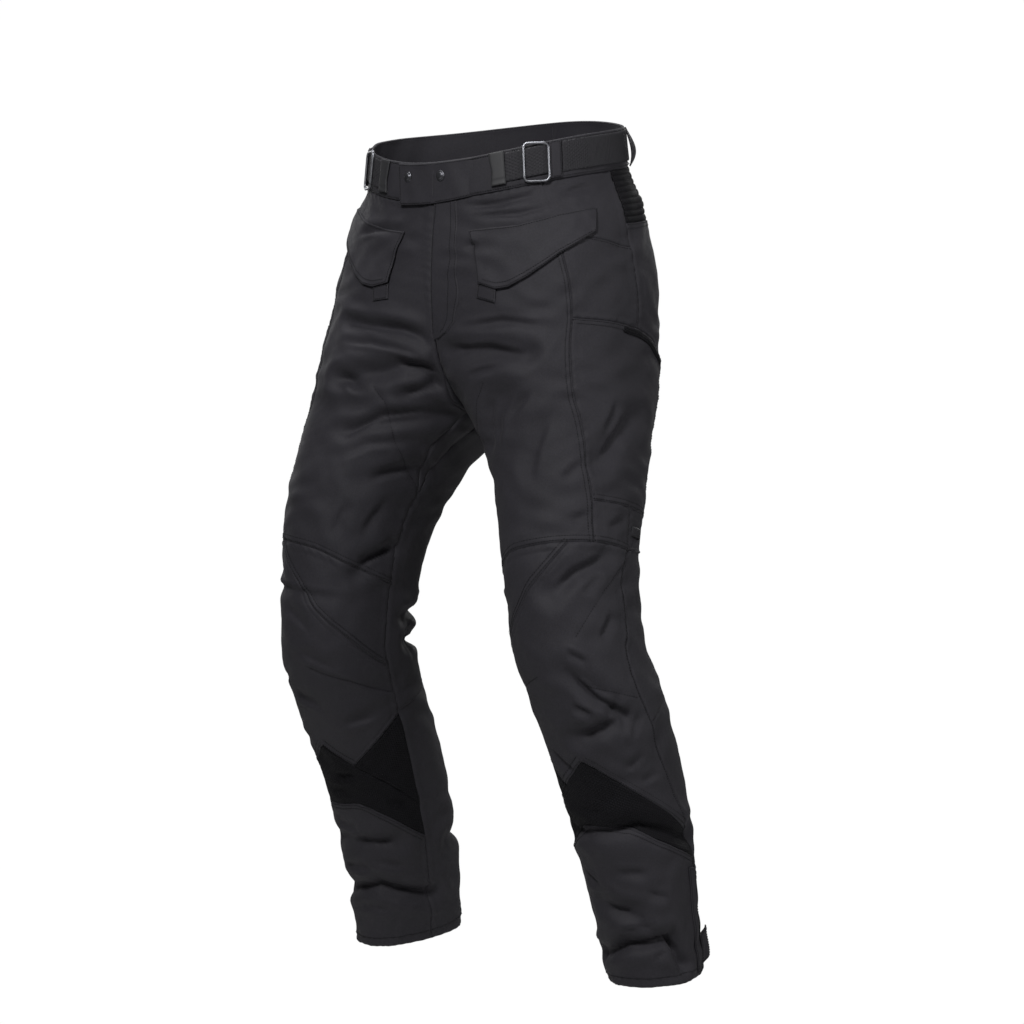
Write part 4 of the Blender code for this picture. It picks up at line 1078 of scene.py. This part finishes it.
# Press studs: radius and height in mm along the cap's profile, then each stud's leg and turn.
SNAP_PROFILE = [(0, 3.1), (2.2, 3.1), (3.2, 2.95), (3.9, 2.5), (4.2, 2.0), (4.6, 1.85), (5.6, 1.7),
                (6.2, 1.3), (6.5, 0.6), (6.5, 0.0), (3.0, 0.0), (0, 0.0)]
SNAPS = {"snap_outer": (-1, -158.0), "snap_inner": (1, -175.0)}


def inset_line(points, margin, corners):
    """Corners of shares pulled in by a margin in metres from the grid's own edges."""
    _, wide, tall = sheet_area(points)
    across, down = margin / wide, margin / tall
    return [(across + u * (1 - 2 * across), down + v * (1 - 2 * down)) for u, v in corners]


def fine_cell(cell):
    return cell


def add_cloth(node, name, grids, thick, finish, weld=WELD, grain=0.0):
    """A cloth piece with its wall, in place of its node. Its flat cut is worked out but not kept."""
    piece = thicken(mesh_piece(name, grids, finish, weld, grain), thick)
    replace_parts(piece, node)
    declare(grids)


def add_layer(kind, leg_edges, lift_of, thick, finish, stitched=(), cell=CELL,
              grain=0.0, weld=WELD, free="tblr", suffix=""):
    """A cloth piece that lies on the panels, with stitch lines given as (margin in mm, corners)."""
    grids = []
    for leg, edges in leg_edges.items():
        points, flat, flip, u, v = layer_grid(leg, edges, lift_of, cell, free)
        grids.append((points, flat, flip))
        for margin, corners in stitched:
            line = inset_line(points, margin * MM, corners)
            threads[leg].append(grid_stitches(points, u, v, line, flip))
    add_cloth(kind + suffix, f"{kind}_cloth{suffix}", grids, thick * MM, finish, weld, grain)


def add_panels(leg):
    """The sewn panels of one leg."""
    for name, edges in PANELS.items():
        # The dark stretch finish on knee_gusset is painted shade.
        black = name in STRETCH_AND_SHADED_PANELS
        grids = [panel_grid(leg, edges, black, BACK_CELL if name.startswith("back") else CELL)]
        if name == "back_thigh":
            grids.append(panel_grid(leg, CROTCH_PATCH))
        add_cloth(f"{name}_{SIDE_NAME[leg]}", f"{name}_cloth_{SIDE_NAME[leg]}", grids, CLOTH_THICK,
                  BLACK if black else CLOTH, grain=0.06 * leg)


def add_waistband(leg):
    """Half of the waistband: edges rolled in, a dip at the centre seams and under each stitch row, and up
    to 0.5 mm of slack."""
    places, _, _ = patch(box_edges(-180, 180, 0.0, BAND_DROP), 0.0036)
    turn, drop = places[..., 0], places[..., 1]
    roll = -1.1 * np.exp(-(edge_distance(places, "tb") / 0.0011) ** 2)
    seam = -0.5 * np.exp(-(edge_distance(places, "lr") / 0.0012) ** 2)
    stitch_dip = -0.35 * np.exp(-((edge_distance(places, "tb") - 0.003) / 0.0012) ** 2)
    slack = 0.5 * np.sin(turn * 0.11 + 2 * np.sin(turn * 0.031) + drop * 60)
    band = skin(leg, turn, drop, (1.5 + roll + seam + stitch_dip + slack) * MM)
    add_cloth(f"waistband_{SIDE_NAME[leg]}", f"waistband_cloth_{SIDE_NAME[leg]}",
              [(band, places * FLAT, leg < 0)], BAND_THICK, CLOTH)


def add_back_stretch(leg):
    """Half of the ribbed panel: each rib is 1 - |2w - 1|^2.6 high across its width w, with uneven gathers,
    and the first is tucked under the band's edge."""
    rows = BAND_DROP - TUCK + (STRETCH_DROP - BAND_DROP + TUCK) * np.linspace(0, 1, 91)
    turn, drop = np.meshgrid(2 + 178 * graded(0.253, 0.005), rows)
    wave = (drop - BAND_DROP) / (STRETCH_DROP - BAND_DROP) * RIBS
    gather = 0.35 * np.sin(turn * 0.9 + 3 * np.sin(drop * 90)) * np.sin(turn * 0.23)
    ribs = (1.15 + gather) * (1 - np.abs(2 * (wave % 1) - 1) ** 2.6) - 0.1
    ribbed = skin(leg, turn, drop, ribs * MM)
    add_cloth(f"back_stretch_{SIDE_NAME[leg]}", f"back_stretch_cloth_{SIDE_NAME[leg]}",
              [(ribbed, np.stack([turn * PER_DEGREE, drop], -1), leg < 0)], RIBBED_THICK, BLACK)


def elastic_lift(u, v):
    """66 sine ribs along the rear seven tenths of the adjuster, honeycomb on the rest."""
    ribs = 0.45 * np.sin(u * 2 * np.pi * 66) * smooth_step((u - 0.30) / 0.04)
    return 3.4 + ribs + 0.55 * smooth_step((0.30 - u) / 0.03) * honeycomb(u * 0.160, v * 0.040)


def clip_lift(u, v):
    """A flat face that falls away at both sides as (2u - 1)^6, with a shallow groove across its low end."""
    return 5.7 - 0.5 * (2 * u - 1) ** 6 - 0.35 * smooth_step((0.09 - np.abs(v - 0.88)) / 0.04)


def add_trim(leg):
    """The small cloth pieces of one side, and the strap's clip."""
    side = f"_{SIDE_NAME[leg]}"
    add_layer("pocket_flap", {leg: FLAP_EDGES[leg]}, lambda u, v: 1.9 + 2.4 * v**1.5 + 1.6 * (1 - u) ** 6,
              1.5, CLOTH, stitched=[(2.2, RECTANGLE), (7.5, LOWER_EDGE)], cell=0.003, grain=0.3, suffix=side)
    add_layer("flap_pull", {leg: PULL_EDGES[leg]}, lambda u, v: 3.0 - 0.6 * v, 1.3, CLOTH,
              stitched=[(2.0, RECTANGLE)], cell=0.002, grain=0.8, suffix=side)
    add_layer("pocket_binding", {leg: BINDING_EDGES}, lambda u, v: 1.4 + 0 * u, 1.1, BLACK,
              [(1.8, MIDDLE)], cell=0.002, suffix=side)
    add_layer("pocket_loop", {leg: box_edges(3, 22, 0.508, 0.520)},
              lambda u, v: 1.6 + 3.0 * np.sin(np.pi * u), 1.0, ELASTIC, cell=0.002, suffix=side)
    add_layer("zip_placket", {leg: ZIP_EDGES}, lambda u, v: 1.9 + 0.5 * u, 1.4, CLOTH,
              stitched=[(2.0, RECTANGLE)], cell=0.003, suffix=side)
    add_layer("hem_tab", {leg: HEM_TAB_EDGES}, lambda u, v: 2.3 + 7.0 * smooth_step((u * 22 - 4) / 19), 1.7,
              CLOTH, stitched=[(2.5, RECTANGLE)], cell=0.003, suffix=side)
    add_layer("side_elastic", {leg: box_edges(-59, 54, 0.004, 0.044)}, elastic_lift, 1.4, ELASTIC,
              cell=fine_cell(0.0006), suffix=side)
    add_layer("keeper_loop", {leg: box_edges(-73, -60, 0.001, 0.050)},
              lambda u, v: 4.4 + 0.5 * np.sin(np.pi * v), 2.2, CLOTH, stitched=[(2.0, RECTANGLE)], cell=0.002,
              suffix=side)
    add_layer("strap_end", {leg: box_edges(-118, -74, 0.004, 0.042)},
              lambda u, v: 3.4 + 0.5 * honeycomb(u * 0.062, v * 0.038), 1.4, ELASTIC,
              cell=fine_cell(0.0008), suffix=side)
    points, flat, flip, _, _ = layer_grid(leg, CLIP_EDGES, clip_lift, 0.0012, "tblr")
    clip = mesh_piece("strap_clip_part" + side, [(points, flat, flip)], GREY_CLIP)
    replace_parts(thicken(clip, 3.6 * MM), "strap_clip" + side)


def add_ring(leg):
    """Rectangular ring buckle: round wire along a rectangle with quarter-circle corners."""
    at, back, up, out = local_frame(leg, RING_TURN, RING_DROP)
    centre = at + out * (STRAP_BASE + WEBBING_THICK + GAP + RING_WIRE / 2 - RING_SINK)
    half = np.array([(RING_WIDTH - RING_WIRE) / 2 - RING_CORNER, (RING_HEIGHT - RING_WIRE) / 2 - RING_CORNER])
    turn_by = np.radians(np.arange(0, 90.1, 7.5))
    corner = np.stack([np.cos(turn_by), np.sin(turn_by)], -1) * RING_CORNER + half
    outline = np.concatenate([corner, corner[::-1] * [-1, 1], -corner, corner[::-1] * [1, -1]])
    ring = tube_grid(centre + outline[:, :1] * back + outline[:, 1:] * up, RING_WIRE / 2)
    piece = mesh_piece(f"ring_buckle_wire_{SIDE_NAME[leg]}", [(ring, ring[..., :2], leg < 0)], STEEL)
    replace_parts(piece, f"ring_buckle_{SIDE_NAME[leg]}")


def add_rear_loop(leg):
    """Belt loop behind the elastic: its middle stands off as sin(pi s^1.35)^0.8 of its length s, and more
    at its rear edge than at its front one."""
    share = np.linspace(0, 1, 41)
    turn, drop = np.meshgrid(np.linspace(*LOOP_TURN, 9), LOOP_DROP[0] + share * np.ptp(LOOP_DROP))
    arch = LOOP_RISE_MM * (np.sin(np.pi * share ** 1.35) ** 0.8)[:, None] * np.linspace(0.5, 1.1, 9)
    loop = skin(leg, turn, drop, (LOOP_BASE_MM + arch) * MM, 0.0)
    add_cloth(f"rear_loop_{SIDE_NAME[leg]}", f"rear_loop_cloth_{SIDE_NAME[leg]}",
              [(loop, np.stack([turn * PER_DEGREE, drop], -1), leg < 0)], LOOP_THICK, CLOTH)


def add_front_closure():
    """Fly flap, waist tab and the two press studs."""
    add_layer("fly_flap", {1: FLY_EDGES}, lambda u, v: 0.9 + 1.5 * (1 - u), 1.3, CLOTH,
              stitched=[(0, line) for line in FLY_STITCHES], cell=0.0025)
    add_layer("waist_tab", {leg: TAB_EDGES[leg] for leg in (-1, 1)}, TAB_LIFTS, 2.0, CLOTH,
              stitched=[(2.2, TAB_STITCHES)], cell=0.003, weld=0.00035, free="tbr")
    for node, (leg, turn) in SNAPS.items():
        at, _, _, out = local_frame(leg, turn, SNAP_DROP)
        cap = lathe_grid(at + out * SNAP_BASE_MM * MM, out, SNAP_PROFILE)
        piece = mesh_piece(f"{node}_cap", [(cap, cap[..., :2], False)], GUNMETAL)
        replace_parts(piece, node)


for leg in (1, -1):
    add_panels(leg)
    add_waistband(leg)
    add_back_stretch(leg)
    threads[leg] += [seam_stitches(leg, runs, shift, lift) for lift, shift, runs in STITCHES]
    add_trim(leg)
    add_ring(leg)
    add_rear_loop(leg)
add_front_closure()
for leg in (1, -1):
    thread_piece(f"stitching_{SIDE_NAME[leg]}", threads[leg], THREAD)

AZIMUTH = math.radians(37)
CAMERA_FAR = 3.6
RIGHT = Vector((math.cos(AZIMUTH), math.sin(AZIMUTH), 0))
TOWARDS = Vector((math.sin(AZIMUTH), -math.cos(AZIMUTH), 0))
UP = Vector((0, 0, 1))
AIM = Vector((0, 0, -0.447)) + RIGHT * 0.019
# Lights: metres from the aim towards the camera, to its right and up, how far above the aim each points,
# its side in metres and its power in watts.
LIGHTS = {
    "key": (2.5, -0.9, 2.1, 0.15, 0.8, 76),
    "fill": (1.6, 2.4, 0.9, 0.2, 0.9, 25),
    "top": (-0.4, -0.3, 2.3, 0.0, 0.9, 34),
    "back_left": (-2.8, 1.3, 1.2, 0.0, 1.2, 14),
    "back_right": (-2.6, -1.7, 1.0, 0.0, 1.2, 10),
}
FLOOR = -1.9
FLOOR_RADIUS = 3.0
AMBIENT = 0.055
SEEN_WHITE = 0.95


def add_camera():
    """A level camera at the photo's angle."""
    lens = bpy.data.cameras.new("camera")
    lens.lens, lens.sensor_width = 100.0, 36.0
    camera = bpy.data.objects.new("camera", lens)
    bpy.context.scene.collection.objects.link(camera)
    camera.location = AIM + TOWARDS * CAMERA_FAR
    camera.rotation_euler = (math.radians(90), 0, AZIMUTH)
    bpy.context.scene.camera = camera


def add_area_light(name, place, aim, size, power):
    """A square soft light that faces a point."""
    lamp = bpy.data.lights.new(name, "AREA")
    lamp.shape = "SQUARE"
    lamp.size = size
    lamp.energy = power
    light = bpy.data.objects.new(name, lamp)
    bpy.context.scene.collection.objects.link(light)
    light.location = place
    light.rotation_euler = (Vector(aim) - Vector(place)).to_track_quat("-Z", "Y").to_euler()


def add_floor():
    """A pale round floor, well below the hems."""
    radius, way = np.linspace(0, FLOOR_RADIUS, 9)[:, None], np.linspace(0, 2 * np.pi, 73)[None]
    disc = np.stack([radius * np.cos(way), radius * np.sin(way), FLOOR + 0 * radius * way], -1)
    mesh = bpy.data.meshes.new("floor")
    mesh.from_pydata(disc.reshape(-1, 3).tolist(), [], grid_quads(*disc.shape[:2], 0, False).tolist())
    paper, _, shader, _ = start_material("floor_paper", 0.9)
    shader.inputs["Base Color"].default_value = (0.70, 0.70, 0.70, 1.0)
    mesh.materials.append(paper)
    floor = bpy.data.objects.new("floor", mesh)
    bpy.context.scene.collection.objects.link(floor)


def add_world():
    """A weak even light that only the camera sees as white."""
    world = bpy.data.worlds.new("studio")
    world.use_nodes = True
    tree = world.node_tree
    sky = tree.nodes["Background"]
    seen = tree.nodes.new("ShaderNodeLightPath").outputs["Is Camera Ray"]
    sky.inputs["Color"].default_value = (1.0, 1.0, 1.0, 1.0)
    bright = math_node(tree, "ADD", math_node(tree, "MULTIPLY", seen, SEEN_WHITE), AMBIENT)
    tree.links.new(bright, sky.inputs["Strength"])
    bpy.context.scene.world = world


add_camera()
for name, (ahead, right, up, above, size, power) in LIGHTS.items():
    add_area_light(name, AIM + TOWARDS * ahead + RIGHT * right + UP * up, AIM + UP * above, size, power)
bpy.context.scene.view_settings.view_transform = "Standard"
add_floor()
add_world()
